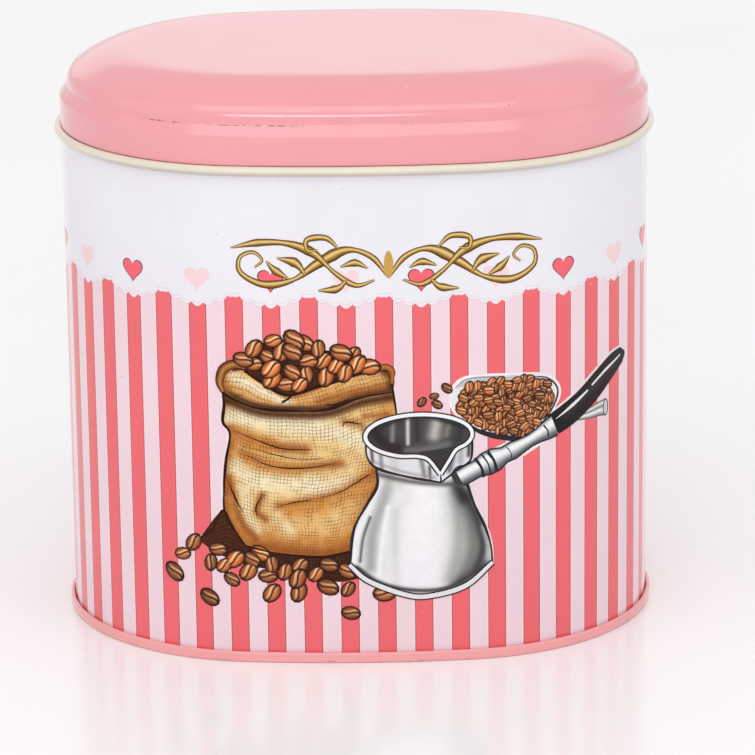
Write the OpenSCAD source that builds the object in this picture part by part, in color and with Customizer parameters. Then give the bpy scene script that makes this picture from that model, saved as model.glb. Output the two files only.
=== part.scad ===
// Oval coffee tin with a domed lid that lifts off.
// Four tinplate pieces: a rolled wall, a pressed base seamed to its foot, a neck ring curled over
// its top edge as a bead, and the lid that slips over the neck.
// Origin: centre of the footprint, on the surface that the tin stands on.
// +X is the long way across, -Y is the printed front, +Z is up. Millimetres.

/* [Body] */
// Width of the wall, end to end
body_w = 146; // [130:2:170]
// Depth of the wall, front to back
body_d = 104; // [92:2:112]
// Height of the middle of the bead at the top of the wall
bead_h = 124.5; // [80:0.5:180]
// Thickness of the tinplate
sheet = 0.26; // [0.2:0.02:0.3]

/* [Base] */
// Height of the folded seam round the foot
seam_h = 2.6; // [2.4:0.1:3.4]
// Height of the base panel above the table
panel_h = 3.4; // [3:0.1:5]
// Width of the flat ledge round the base panel
panel_ledge = 6; // [3:0.5:12]

/* [Neck] */
// Height of the neck's lip above the middle of the bead
neck_h = 8.3; // [5:0.1:8.5]
// Outer radius of the safe curl along the neck's lip
lip_r = 0.7; // [0.5:0.05:0.8]

/* [Lid] */
// Height of the skirt's top corner above the middle of the bead
skirt_h = 8.1; // [7.9:0.1:14]
// Length of the sloping shoulder between skirt and dome
shoulder_len = 2.7; // [2:0.1:4]
// Radius of the dome's side, where it rises from the shoulder
dome_side_r = 4.75; // [3:0.25:7]
// Radius of the dome's rounded edge, where it levels out into the top
crown_r = 23.5; // [16:0.5:30]

/* [Hidden] */

print_white = [0.93, 0.92, 0.94];
base_pink = [0.93, 0.60, 0.63];
lid_pink = [0.95, 0.67, 0.70];
cream = [0.90, 0.86, 0.77];

// Directions in a profile. The two blend directions are the sides of a 3-4-5 triangle, so that
// every arc meets its neighbour at a point with a short exact decimal.
out = [1, 0];
in = [-1, 0];
up = [0, 1];
down = [0, -1];
steep = [0.6, 0.8];
shallow = [0.8, 0.6];

// Plan of the wall: an oval of four tangent arcs, two long ones and two round ends. They meet on
// lines whose run, fall and length are as 34, 288 and 290, which also keeps the meeting exact.
plan_run = 34;
plan_fall = 288;
plan_slant = 290;
half_w = body_w / 2;
half_d = body_d / 2;
stretch = (half_w - half_d) / (plan_run + plan_fall - plan_slant);
end_x = plan_run * stretch;
face_y = plan_fall * stretch;
end_r = half_d - (plan_slant - plan_fall) * stretch;
face_r = face_y + half_d;
plan_fn = 240;
profile_fn = 64;

// Every profile is drawn with x as the distance out from the wall's outer face, and y as height.
// Gaps between folded layers, which sealing compound fills on a real tin.
seam_gap = 0.14;
bead_gap = 0.08;
hem_gap = 0.1;
well_gap = 0.1;

// Seam round the foot, from the wall outwards: wall, base hook, wall hook, base cover.
wall_hook_x = 2 * seam_gap + sheet;
cover_x = wall_hook_x + sheet + seam_gap;
cover_out = cover_x + sheet;
wall_fold_r = wall_hook_x / 2 + sheet;
wall_fold_z = sheet + seam_gap + wall_fold_r;
cover_fold_r = (cover_out - seam_gap) / 2;
cover_fold_z = seam_h - cover_fold_r;
foot_corner_r = 0.45;
well_x = -sheet - well_gap;
well_in = well_x - sheet;

// Base panel: rounded over from the well, then a shallow step down to the middle.
panel_corner_r = 1;
panel_in = well_x - panel_corner_r;
step_x = panel_in - panel_ledge;
step_reach = 2;
step_r = (step_reach + sheet) / 2;

// Bead: the neck ring's foot, curled round the hook at the top of the wall.
bead_r = 1.15;
hook_r = bead_r - sheet - bead_gap;
bead_x = hook_r - sheet;

// Neck: rises inside the lid from a valley behind the bead.
valley_r = 0.35;
valley_x = bead_x - (bead_r + valley_r) * steep[0];
valley_z = bead_h + (bead_r + valley_r) * steep[1];
neck_x = valley_x - valley_r;
lip_x = neck_x - lip_r;
lip_z = bead_h + neck_h - lip_r;

// Lid: hemmed foot standing just clear of the bead, skirt, shoulder, dome and flat top.
skirt_x = 0.15;
hem_r = sheet + hem_gap / 2;
hem_x = skirt_x - hem_r;
hem_lift = 1.42;
hem_z = bead_h + hem_lift;
hem_h = 2.6;
corner_r = 0.8;
corner_x = skirt_x - corner_r;
corner_z = bead_h + skirt_h;
crease_r = 0.5;
crease_x = corner_x + (corner_r + crease_r) * shallow[0] - shoulder_len * steep[0];
crease_z = corner_z + (corner_r + crease_r) * shallow[1] + shoulder_len * steep[1];
dome_x = crease_x - crease_r;
dome_rise = 0.6;
dome_z = crease_z + dome_rise;
dome_side_x = dome_x - dome_side_r;
crown_x = dome_side_x - (crown_r - dome_side_r) * steep[0];
crown_z = dome_z - (crown_r - dome_side_r) * steep[1];
top_z = crown_z + crown_r;

// Lock seam that closes the rolled wall, folded to the inside down the middle of the back.
lock_w = 4.5;
lock_t = 1.5 * sheet;
lock_end = 6;

// Bent tinplate: the arc of one sheet that lies between the first and last of some directions.
module bend(x, z, r, turns) {
    translate([x, z]) intersection() {
        difference() {
            circle(r = r, $fn = profile_fn);
            circle(r = r - sheet, $fn = profile_fn);
        }
        polygon(concat([[0, 0]], [for (turn = turns) 3 * r * turn]));
    }
}

// Straight upright tinplate, with its inner face at x.
module upright(x, z_low, z_high) {
    translate([x, z_low]) square([sheet, z_high - z_low]);
}

// Level tinplate, with its lower face at z.
module level(x_low, x_high, z) {
    translate([x_low, z]) square([x_high - x_low, sheet]);
}

// Level tinplate that covers the oval's whole middle.
module panel(x_high, z) {
    level(-half_w, x_high, z);
}

// Ground covered by the right-hand end's arc, and by the front's.
module end_zone() {
    polygon([[end_x, 0], [end_x + plan_run, -plan_fall], [end_x + plan_fall, 0], [end_x + plan_run, plan_fall]]);
}

module front_zone() {
    polygon([[-end_x, 0], [-end_x - plan_run, -plan_fall], [end_x + plan_run, -plan_fall], [end_x, 0]]);
}

// Carries a profile half way round a point, clockwise from the direction of +Y.
module half_turn(r) {
    rotate([0, 0, -90]) rotate_extrude(angle = 180, $fn = plan_fn) intersection() {
        translate([r, 0]) children();
        square([2 * r, 2 * bead_h]);
    }
}

// Carries a profile all the way round the oval.
module oval_sweep() {
    for (turn = [0, 180]) rotate([0, 0, turn]) {
        intersection() {
            translate([end_x, 0, 0]) half_turn(end_r) children();
            linear_extrude(height = 2 * bead_h) end_zone();
        }
        intersection() {
            translate([0, face_y, 0]) rotate([0, 0, -90]) half_turn(face_r) children();
            linear_extrude(height = 2 * bead_h) front_zone();
        }
    }
}

module body_shell() color(print_white) {
    oval_sweep() {
        upright(-sheet, wall_fold_z, bead_h);
        bend(bead_x, bead_h, hook_r, [in, up, out, [steep[0], -steep[1]]]);
        bend(wall_hook_x / 2, wall_fold_z, wall_fold_r, [in, down, out]);
        upright(wall_hook_x, wall_fold_z, cover_fold_z - seam_gap);
    }
    translate([-lock_w / 2, half_d - 2 * sheet, lock_end])
        cube([lock_w, lock_t, bead_h - 2 * lock_end]);
}

module bottom_end() color(base_pink) {
    low_x = step_x - step_reach * steep[0];
    low_z = panel_h - step_r + step_reach * steep[1];
    oval_sweep() {
        upright(seam_gap, wall_fold_z + seam_gap, cover_fold_z);
        bend(seam_gap + cover_fold_r, cover_fold_z, cover_fold_r, [out, up, in]);
        upright(cover_x, foot_corner_r, cover_fold_z);
        bend(cover_out - foot_corner_r, foot_corner_r, foot_corner_r, [out, down]);
        level(well_in + foot_corner_r, cover_out - foot_corner_r, 0);
        bend(well_in + foot_corner_r, foot_corner_r, foot_corner_r, [down, in]);
        upright(well_in, foot_corner_r, panel_h - panel_corner_r);
        bend(panel_in, panel_h - panel_corner_r, panel_corner_r, [out, up]);
        level(step_x, panel_in, panel_h - sheet);
        bend(step_x, panel_h - step_r, step_r, [up, [-steep[0], steep[1]]]);
        bend(low_x, low_z, step_r, [down, [steep[0], -steep[1]]]);
        panel(low_x, low_z - step_r);
    }
}

module neck_ring() color(cream) {
    oval_sweep() {
        bend(bead_x, bead_h, bead_r, [[-steep[0], steep[1]], up, out, down]);
        bend(valley_x, valley_z, valley_r + sheet, [in, down, [steep[0], -steep[1]]]);
        upright(neck_x - sheet, valley_z, lip_z);
        bend(lip_x, lip_z, lip_r, [out, up, in, [-steep[0], -steep[1]]]);
    }
}

module lid() color(lid_pink) {
    slope_top = [crease_x, crease_z] - crease_r * shallow;
    slope_foot = [corner_x, corner_z] + corner_r * shallow;
    oval_sweep() {
        upright(hem_x - hem_r, hem_z, hem_z + hem_h);
        bend(hem_x, hem_z, hem_r, [in, down, out]);
        upright(skirt_x - sheet, hem_z, corner_z);
        bend(corner_x, corner_z, corner_r, [out, shallow]);
        polygon([slope_foot, slope_top, slope_top - sheet * shallow, slope_foot - sheet * shallow]);
        bend(crease_x, crease_z, crease_r + sheet, [in, -shallow]);
        upright(dome_x - sheet, crease_z, dome_z);
        bend(dome_side_x, dome_z, dome_side_r, [out, steep]);
        bend(crown_x, crown_z, crown_r, [steep, up]);
        panel(crown_x, top_z - sheet);
    }
}

body_shell();
bottom_end();
neck_ring();
lid();
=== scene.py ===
# %% [markdown]
# # An oval coffee tin, printed flat and rolled up
#
# The tin is four pieces of tinplate, about a quarter of a millimetre thick: a printed wall, a
# base, a neck ring and a lid. A tin works prints the artwork on a flat sheet, cuts it, rolls it
# into a tube and folds the edges of the four pieces into each other. This lesson follows the
# same order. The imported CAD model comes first, because it fixes every size and every motion.

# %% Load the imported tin
import math
import bmesh
import bpy
import numpy as np
from mathutils import Matrix, Vector


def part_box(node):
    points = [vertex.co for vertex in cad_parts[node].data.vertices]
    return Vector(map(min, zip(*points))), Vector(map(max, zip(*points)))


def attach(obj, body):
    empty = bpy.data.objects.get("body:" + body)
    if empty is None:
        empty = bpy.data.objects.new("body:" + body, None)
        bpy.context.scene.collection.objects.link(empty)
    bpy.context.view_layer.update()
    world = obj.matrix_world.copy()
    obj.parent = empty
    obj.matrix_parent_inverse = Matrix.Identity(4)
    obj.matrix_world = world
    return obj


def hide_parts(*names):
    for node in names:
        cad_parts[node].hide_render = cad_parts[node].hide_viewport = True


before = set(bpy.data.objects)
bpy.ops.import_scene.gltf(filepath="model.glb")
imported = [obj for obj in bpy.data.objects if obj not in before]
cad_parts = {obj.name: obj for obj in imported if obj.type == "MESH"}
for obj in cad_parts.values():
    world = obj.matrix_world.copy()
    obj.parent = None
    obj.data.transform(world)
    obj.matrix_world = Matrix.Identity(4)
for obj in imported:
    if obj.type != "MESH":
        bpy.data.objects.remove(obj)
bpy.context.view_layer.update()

MM = 0.001

# %% [markdown]
# ## The oval
#
# Seen from above the wall is four arcs that run smoothly into each other: two long ones at the
# front and back, and two round ends. The shape could be drawn as a Bezier curve, but arcs give an
# exact distance round the wall, and that distance is what a printer works in. So every place on
# the wall gets two numbers: `along`, the distance round from the middle of the front, and its
# height. The arcs meet where a line falls 288 for every 34 that it runs across.

# %% Measure the oval from the frame
bead_stands_out = 1.7
neck_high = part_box("neck_ring")[1]
half_w = round(neck_high.x / MM - bead_stands_out, 1)
half_d = round(neck_high.y / MM - bead_stands_out, 1)
plan_run, plan_fall, plan_slant = 34, 288, 290
stretch = (half_w - half_d) / (plan_run + plan_fall - plan_slant)
end_x, face_y = plan_run * stretch, plan_fall * stretch
end_r = half_d - (plan_slant - plan_fall) * stretch
face_r = face_y + half_d
face_turn = math.atan2(end_x, face_y)
face_len = face_r * face_turn
half_round = 2 * (face_len + end_r * (math.pi / 2 - face_turn))


def wall_place(along, out=0.0):
    """Where a point lies in plan, in mm: along the wall from the front's middle, and out from it."""
    along = np.asarray(along, float)
    reach = np.abs(along)
    behind = reach > half_round / 2
    quarter = np.where(behind, half_round - reach, reach)
    on_face = quarter <= face_len
    turn = np.where(on_face, quarter / face_r, face_turn + (quarter - face_len) / end_r)
    radius = np.where(on_face, face_r, end_r) + out
    x = np.where(on_face, 0, end_x) + radius * np.sin(turn)
    y = np.where(on_face, face_y, 0) - radius * np.cos(turn)
    return x * np.where(along < 0, -1, 1), y * np.where(behind, -1, 1)


print(f"oval {2 * half_w:.1f} x {2 * half_d:.1f} mm, {2 * half_round:.1f} mm round")

# %% [markdown]
# ## Bending a strip of tinplate
#
# Every fold on the tin can be told as a list of moves: run straight so far, then bend by some
# angle round some radius. `strip` follows the moves along the middle of the sheet, and notes
# which way is left at each point, so that half a thickness to each side gives the two faces.
# Outlines drawn by hand would do the same, but moves keep the thickness right in every curl.

# %% Follow the moves of a bend
sheet = 0.26
longest_run, bend_step = 9.0, 9.0


def strip(start, heading, moves, step=bend_step):
    """Middle line of a bent sheet, as points and the directions to their left, in mm."""
    point = np.array(start, float)
    heading = math.radians(heading)
    points, lefts = [point], [heading + math.pi / 2]
    for kind, amount, *radius in moves:
        if kind == "run":
            parts = max(1, round(amount / longest_run))
            for _ in range(parts):
                point = point + amount / parts * np.array([math.cos(heading), math.sin(heading)])
                points.append(point)
                lefts.append(heading + math.pi / 2)
            continue
        turn = math.radians(amount)
        side = math.copysign(radius[0], turn)
        centre = point + side * np.array([-math.sin(heading), math.cos(heading)])
        parts = max(2, round(abs(amount) / step))
        for k in range(1, parts + 1):
            now = heading + turn * k / parts
            point = centre - side * np.array([-math.sin(now), math.cos(now)])
            points.append(point)
            lefts.append(now + math.pi / 2)
        heading += turn
    return np.array(points), np.array([[math.cos(a), math.sin(a)] for a in lefts])


middle_rings, middle_half_width = 7, 0.4


def with_middle(path, edge, height):
    """Puts a flat middle before a strip's first point, as rings that shrink onto a line."""
    points, lefts = path
    reach = np.linspace(middle_half_width - end_r, edge, middle_rings + 1)[:-1]
    middle = np.array([[out, height] for out in reach])
    return np.vstack([middle, points]), np.vstack([np.repeat(lefts[:1], len(middle), 0), lefts])


# %% [markdown]
# ## From a strip to a piece
#
# Each bent strip is carried round the oval like a moulding. A curve with a bevel object could do
# this, but it pinches where a profile is offset inwards, while these arcs only change radius.
# The lid and the base have a flat middle too. Their rings run on inwards until they close on a
# line, so each sheet is one closed skin. Every point also remembers how far along and out it is,
# and whether it is on the decorated side, because the finishes ask for that later.

# %% Carry a strip round the oval
stations = 400
seats = ((np.arange(stations) + 0.5) / stations * 2 - 1) * half_round


def mesh_object(name, points, faces, sharp_above=40):
    """A mesh object at the origin, from points in mm, with every face outwards."""
    mesh = bpy.data.meshes.new(name)
    mesh.from_pydata((np.asarray(points) * MM).tolist(), [], faces)
    made = bpy.data.objects.new(name, mesh)
    bpy.context.collection.objects.link(made)
    shell = bmesh.new()
    shell.from_mesh(mesh)
    bmesh.ops.recalc_face_normals(shell, faces=shell.faces)
    shell.to_mesh(mesh)
    shell.free()
    mesh.shade_smooth()
    mesh.set_sharp_from_angle(angle=math.radians(sharp_above))
    return made


def note(made, name, kind, values):
    """Stores one value for every point of a mesh."""
    attribute = made.data.attributes.new(name, kind, "POINT")
    field = {"FLOAT": "value", "FLOAT_VECTOR": "vector", "FLOAT_COLOR": "color"}[kind]
    attribute.data.foreach_set(field, np.asarray(values, np.float32).ravel())


def carry_round(name, path, outside, closes=False):
    """Sweeps a strip round the oval. If it closes, its first ring is filled across the middle."""
    points, lefts = path
    count = len(points)
    section = np.vstack([points + lefts * sheet / 2, (points - lefts * sheet / 2)[::-1]])
    rings = []
    for out, height in section:
        x, y = wall_place(seats, out)
        rings.append(np.stack([x, y, np.full(stations, height)], 1))
    faces = []
    for ring in range(2 * count - closes):
        here, there = ring * stations, (ring + 1) % (2 * count) * stations
        for k in range(stations):
            n = (k + 1) % stations
            faces.append((here + k, here + n, there + n, there + k))
    if closes:
        for here in (0, (2 * count - 1) * stations):
            for k in range(stations // 4, stations * 3 // 4 - 1):
                over = (stations // 2 - 1 - k) % stations
                over_next = (stations // 2 - 2 - k) % stations
                faces.append((here + k, here + k + 1, here + over_next, here + over))
    made = mesh_object(name, np.concatenate(rings), faces)
    note(made, "along", "FLOAT", np.tile(seats, 2 * count))
    note(made, "out", "FLOAT", np.repeat(section[:, 0], stations))
    left_side = np.repeat(np.arange(2 * count) < count, stations)
    note(made, "decorated", "FLOAT", left_side == (outside == "left"))
    print(f"{name}: {2 * count} points in section, {len(made.data.polygons)} faces")
    return made


# %% [markdown]
# ## The lid
#
# The lid is pressed from one sheet: a flat top, a wide soft dome, a short sloping shoulder and a
# straight skirt, whose foot is hemmed inwards so that no raw edge is left to cut a finger. The
# blend angles are the corners of a 3-4-5 triangle, as in the CAD model, which places each curve
# exactly on the next. Small steps in the bends keep the long highlights smooth.

# %% Press the lid
blend = math.degrees(math.atan2(3, 4))
steep_out, steep_up = 0.6, 0.8
bead_mid, lid_top = 124.5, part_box("lid")[1].z / MM
crown_r, dome_side_r, crease_r, corner_r = 23.5, 4.75, 0.5, 0.8
skirt_out, hem_r, hem_h, hem_lift = 0.15, sheet + 0.05, 2.6, 1.42
skirt_h, shoulder, dome_rise = 8.1, 2.7, 0.6
hem_z, corner_z = bead_mid + hem_lift, bead_mid + skirt_h
dome_out = skirt_out - corner_r + (corner_r + crease_r) * steep_up - shoulder * steep_out - crease_r
crown_out = dome_out - dome_side_r - (crown_r - dome_side_r) * steep_out
lid_moves = [
    ("bend", -blend, crown_r - sheet / 2), ("bend", blend - 90, dome_side_r - sheet / 2),
    ("run", dome_rise), ("bend", blend, crease_r + sheet / 2), ("run", shoulder),
    ("bend", -blend, corner_r - sheet / 2), ("run", corner_z - hem_z),
    ("bend", -180, hem_r - sheet / 2), ("run", hem_h)]
lid_path = strip([crown_out, lid_top - sheet / 2], 0, lid_moves, step=4)
lid = carry_round("lid_pressed", with_middle(lid_path, crown_out, lid_top - sheet / 2), "left", True)

# %% [markdown]
# ## The neck ring
#
# A separate ring stands inside the lid and carries it. Its foot is curled over the top of the wall
# into the round bead that the lid comes down to, and its lip is curled inwards so that it is safe
# to reach past. It is one strip, with a bend of more than half a turn at each end.

# %% Curl the neck
bead_r, bead_gap, valley_r, lip_r, neck_h = 1.15, 0.08, 0.35, 0.7, 8.3
bead_out = bead_r - 2 * sheet - bead_gap
neck_rise = neck_h - lip_r - (bead_r + valley_r) * steep_up
neck_moves = [
    ("bend", 180 + blend, bead_r - sheet / 2), ("bend", -90 - blend, valley_r + sheet / 2),
    ("run", neck_rise), ("bend", 270 - blend, lip_r - sheet / 2)]
neck_path = strip([bead_out, bead_mid - bead_r + sheet / 2], 0, neck_moves)
neck = carry_round("neck_curled", neck_path, "right")

# %% [markdown]
# ## The base
#
# The base is pressed with a stepped panel that stands clear of the table, and its edge is folded
# round the foot of the wall twice. From outside that seam is the thin pink rim at the bottom.
# Its layers stay a little apart, because a real seam has a film of sealing compound in it.

# %% Press and seam the base
seam_gap, seam_h, panel_h, panel_edge_r, foot_r = 0.14, 2.6, 3.4, 1.0, 0.45
cover_out = 3 * (sheet + seam_gap)
fold_r = seam_gap + 1.5 * sheet
fold_z = sheet + seam_gap + fold_r
cover_fold_r = (cover_out - seam_gap) / 2
cover_fold_z = seam_h - cover_fold_r
well_gap, ledge_w, step_r, step_drop = 0.1, 6.0, 1, 0.4
well_out = -sheet - well_gap
ledge_out = well_out - panel_edge_r - ledge_w
base_moves = [
    ("bend", blend, step_r), ("bend", -blend, step_r), ("run", ledge_w),
    ("bend", -90, panel_edge_r - sheet / 2), ("run", panel_h - panel_edge_r - foot_r),
    ("bend", 90, foot_r - sheet / 2), ("run", cover_out - well_out + sheet - 2 * foot_r),
    ("bend", 90, foot_r - sheet / 2), ("run", cover_fold_z - foot_r),
    ("bend", 180, cover_fold_r - sheet / 2), ("run", cover_fold_z - fold_z - seam_gap)]
panel_start, panel_mid = ledge_out - 2 * step_r * steep_out, panel_h - step_drop - sheet / 2
base_path = strip([panel_start, panel_mid], 0, base_moves)
base = carry_round("base_seamed", with_middle(base_path, panel_start, panel_mid), "right", True)

# %% [markdown]
# ## The wall
#
# The wall is the printed sheet, rolled up. Its foot is hooked outwards into the base's seam, and
# its top is hooked outwards under the bead. The two ends of the sheet meet down the middle of the
# back. They are locked together inside, so outside there is only a fine groove to see.

# %% Roll the wall
hook_r = bead_r - sheet - bead_gap
wall_moves = [
    ("run", cover_fold_z - seam_gap - fold_z), ("bend", -180, fold_r - sheet / 2),
    ("run", bead_mid - fold_z), ("bend", -270 + blend, hook_r - sheet / 2)]
wall_start = [2 * seam_gap + 1.5 * sheet, cover_fold_z - seam_gap]
wall = carry_round("wall_printed", strip(wall_start, -90, wall_moves), "right")
for made, node in ((lid, "lid"), (neck, "neck_ring"), (base, "bottom_end"), (wall, "body_shell")):
    low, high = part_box(node)
    points = np.array([v.co for v in made.data.vertices])
    off = np.abs(np.array([points.min(0) - low, points.max(0) - high])).max() / MM
    print(f"{made.name} is within {off:.2f} mm of the CAD node's box")

# %% [markdown]
# ## Small tools for finishes
#
# A finish is a tree of nodes. `add` places one node and fills its sockets in order, which keeps
# each tree about as short as a written formula. An `effect` is a node group: a small machine with
# named inputs and outputs, made once and used by several finishes with different settings.

# %% Tools for node trees
def join(tree, socket, value):
    """Links a socket to another one, or sets its number. None leaves it as it is."""
    if isinstance(value, bpy.types.NodeSocket):
        tree.links.new(value, socket)
    elif value is not None:
        socket.default_value = value


def add(tree, kind, *values, **settings):
    """Adds a shader node, and fills its sockets in order."""
    made = tree.nodes.new("ShaderNode" + kind)
    for name, value in settings.items():
        setattr(made, name, value)
    for place, value in enumerate(values):
        join(tree, made.inputs[place], value)
    return made


def calc(tree, operation, *values):
    return add(tree, "Math", *values, operation=operation).outputs[0]


def between(tree, value, low, high, low_out=0.0, high_out=1.0):
    """Maps a value smoothly from one range to another, and stops at its ends."""
    return add(tree, "MapRange", value, low, high, low_out, high_out,
               interpolation_type="SMOOTHSTEP").outputs[0]


def mix(tree, share, low, high):
    """A colour between two others."""
    made = add(tree, "Mix", share, data_type="RGBA")
    join(tree, made.inputs[6], low)
    join(tree, made.inputs[7], high)
    return made.outputs[2]


def noted(tree, name):
    """Reads what a mesh stored at its points: its number and its colour."""
    made = add(tree, "Attribute", attribute_name=name)
    return made.outputs["Fac"], made.outputs["Color"]


def ink(red, green, blue):
    """A colour as it looks on a screen, from 0 to 255, made ready for a shader."""
    return (*[(c / 255 / 12.92 if c < 11 else ((c / 255 + 0.055) / 1.055) ** 2.4)
              for c in (red, green, blue)], 1.0)


def effect(name, inputs, outputs):
    """A node group with named inputs and outputs, ready to be filled."""
    tree = bpy.data.node_groups.new(name, "ShaderNodeTree")
    for label, kind in inputs.items():
        tree.interface.new_socket(label, in_out="INPUT", socket_type="NodeSocket" + kind)
    for label, kind in outputs.items():
        tree.interface.new_socket(label, in_out="OUTPUT", socket_type="NodeSocket" + kind)
    return tree, tree.nodes.new("NodeGroupInput").outputs, tree.nodes.new("NodeGroupOutput").inputs


def millimetres(tree):
    """The place of a point on the finished object, in mm."""
    place = add(tree, "TexCoord").outputs["Object"]
    return add(tree, "VectorMath", place, None, None, 1 / MM, operation="SCALE").outputs[0]


def blank_finish(name):
    """A new material, with its tree and its surface node."""
    made = bpy.data.materials.new(name)
    made.use_nodes = True
    return made, made.node_tree, made.node_tree.nodes["Principled BSDF"]


# %% [markdown]
# ## Stoved enamel
#
# Colour on tinplate is a coat of enamel baked in an oven. It flows out almost flat, but never
# quite: it keeps a faint orange-peel ripple, and in time it collects specks of dust and dull
# finger marks. Every piece of the tin shares this, so it is one effect. It could be painted by
# hand for each piece, but a group keeps all four in step.

# %% The handled-enamel effect
skin, skin_in, skin_out = effect(
    "handled_enamel",
    {"Color": "Color", "Speck Share": "Float", "Peel": "Float"},
    {"Color": "Color", "Roughness": "Float", "Height": "Float"})
place = millimetres(skin)
clouds = add(skin, "TexNoise", place, None, 0.03, 3.0).outputs[0]
deeper = mix(skin, 0.1, skin_in["Color"], (0.35, 0.05, 0.06, 1))
toned = mix(skin, between(skin, clouds, 0.35, 0.7, 0, 0.5), skin_in["Color"], deeper)
cells = add(skin, "TexVoronoi", place, None, 0.33)
picked = add(skin, "SeparateColor", cells.outputs["Color"]).outputs
speck_size = calc(skin, "MULTIPLY", picked[1], 0.075)
is_speck = calc(skin, "LESS_THAN", cells.outputs["Distance"], speck_size)
chosen = calc(skin, "LESS_THAN", picked[0], skin_in["Speck Share"])
speck = calc(skin, "MULTIPLY", is_speck, chosen)
is_dark = calc(skin, "GREATER_THAN", picked[2], 0.45)
speck_ink = mix(skin, is_dark, (0.9, 0.85, 0.83, 1), (0.16, 0.06, 0.06, 1))
join(skin, skin_out["Color"], mix(skin, calc(skin, "MULTIPLY", speck, 0.6), toned, speck_ink))
marks = add(skin, "TexNoise", place, None, 0.05, 2.0, 0.5).outputs[0]
rough = between(skin, marks, 0.3, 0.75, 0.0, 0.08)
on_skin = calc(skin, "ADD", rough, 0.12)
join(skin, skin_out["Roughness"], calc(skin, "ADD", on_skin, calc(skin, "MULTIPLY", speck, 0.5)))
ripple = add(skin, "TexNoise", place, None, 0.9, 2.0).outputs[0]
waves = add(skin, "TexNoise", place, None, 0.045, 1.0).outputs[0]
peeled = calc(skin, "MULTIPLY", ripple, skin_in["Peel"])
grainy = calc(skin, "MULTIPLY_ADD", speck, 0.02, peeled)
join(skin, skin_out["Height"], calc(skin, "MULTIPLY_ADD", waves, 0.1, grainy))
print("handled_enamel:", len(skin.nodes), "nodes")

# %% [markdown]
# ## The plain side of the sheet
#
# Only one side of the sheet is enamelled. The other keeps the tin's own colour under a clear
# lacquer with a straw tint, with the fine lines of the rolling mill running along it. A second
# sheet inside could show it, but one mask for the decorated side is enough to swap the finish.

# %% The lacquered-tin effect
plain, plain_in, plain_out = effect(
    "lacquered_tin", {"Along": "Float"}, {"Color": "Color", "Roughness": "Float"})
height = add(plain, "SeparateXYZ", millimetres(plain)).outputs[2]
rolled = add(plain, "CombineXYZ", calc(plain, "MULTIPLY", plain_in["Along"], 0.02), height,
    0.0).outputs[0]
lines = add(plain, "TexNoise", rolled, None, 1.3, 3.0, 0.6).outputs[0]
join(plain, plain_out["Color"], mix(plain, lines, (0.7, 0.67, 0.6, 1), (0.86, 0.83, 0.76, 1)))
join(plain, plain_out["Roughness"], between(plain, lines, 0.3, 0.7, 0.3, 0.42))


def enamelled(name, colour_of, speck_share, peel, gloss):
    """A finish: enamel on the decorated side of a sheet, lacquered tin on the other."""
    made, tree, surface = blank_finish(name)
    decorated = noted(tree, "decorated")[0]
    coat = add(tree, "Group", node_tree=skin)
    join(tree, coat.inputs["Color"], colour_of(tree))
    join(tree, coat.inputs["Speck Share"], speck_share)
    join(tree, coat.inputs["Peel"], peel)
    bare = add(tree, "Group", node_tree=plain)
    join(tree, bare.inputs["Along"], noted(tree, "along")[0])
    on_front = calc(tree, "GREATER_THAN", decorated, 0.5)
    both = mix(tree, on_front, bare.outputs["Color"], coat.outputs["Color"])
    join(tree, surface.inputs["Base Color"], both)
    dull = between(tree, on_front, 0.0, 1.0, bare.outputs["Roughness"], coat.outputs["Roughness"])
    join(tree, surface.inputs["Roughness"], dull)
    join(tree, surface.inputs["Metallic"], calc(tree, "MULTIPLY_ADD", on_front, -0.9, 0.9))
    raised = calc(tree, "MULTIPLY", coat.outputs["Height"], on_front)
    relief = add(tree, "Bump", 0.12, 0.0001, None, raised)
    join(tree, surface.inputs["Normal"], relief.outputs[0])
    surface.inputs["Coat Weight"].default_value = gloss
    surface.inputs["Coat Roughness"].default_value = 0.14
    return made


# %% [markdown]
# ## Pink lid, pink base, cream neck
#
# The lid and base are the same salmon pink. Dark specks of dirt sit in the lid's crease, where a
# cloth never reaches, most of all where a thumb pushes the lid off, so the lid's colour asks how
# far along and how high the point is. The base is rubbed brown where it scrapes on the shelf.
# The neck is cream, with painted shade that makes it a little greyer where the bead turns under.

# %% Mix the plain enamels
def lid_colour(tree):
    height = add(tree, "SeparateXYZ", millimetres(tree)).outputs[2]
    crease_z = corner_z + (corner_r + crease_r) * steep_out + shoulder * steep_up
    from_crease = calc(tree, "ABSOLUTE", calc(tree, "SUBTRACT", height, crease_z - 0.35))
    near = calc(tree, "SUBTRACT", 1.0, between(tree, from_crease, 0.04, 0.2))
    along = noted(tree, "along")[0]
    row = add(tree, "CombineXYZ", along, calc(tree, "MULTIPLY", height, 2.0), 0.0).outputs[0]
    dots = add(tree, "TexNoise", row, None, 0.8, 3.0, 0.75).outputs[0]
    stretches = between(tree, add(tree, "TexNoise", row, None, 0.03, 1.0).outputs[0], 0.6, 0.7)
    from_thumb = calc(tree, "ABSOLUTE", calc(tree, "ADD", along, 24.0))
    by_thumb = calc(tree, "SUBTRACT", 1.0, between(tree, from_thumb, 9.0, 14.0))
    dirty = calc(tree, "MAXIMUM", stretches, by_thumb)
    grime = calc(tree, "MULTIPLY", calc(tree, "GREATER_THAN", dots, 0.5), dirty)
    share = calc(tree, "MULTIPLY", calc(tree, "MULTIPLY", grime, near), 0.75)
    return mix(tree, share, ink(241, 160, 166), ink(96, 34, 40))


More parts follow.
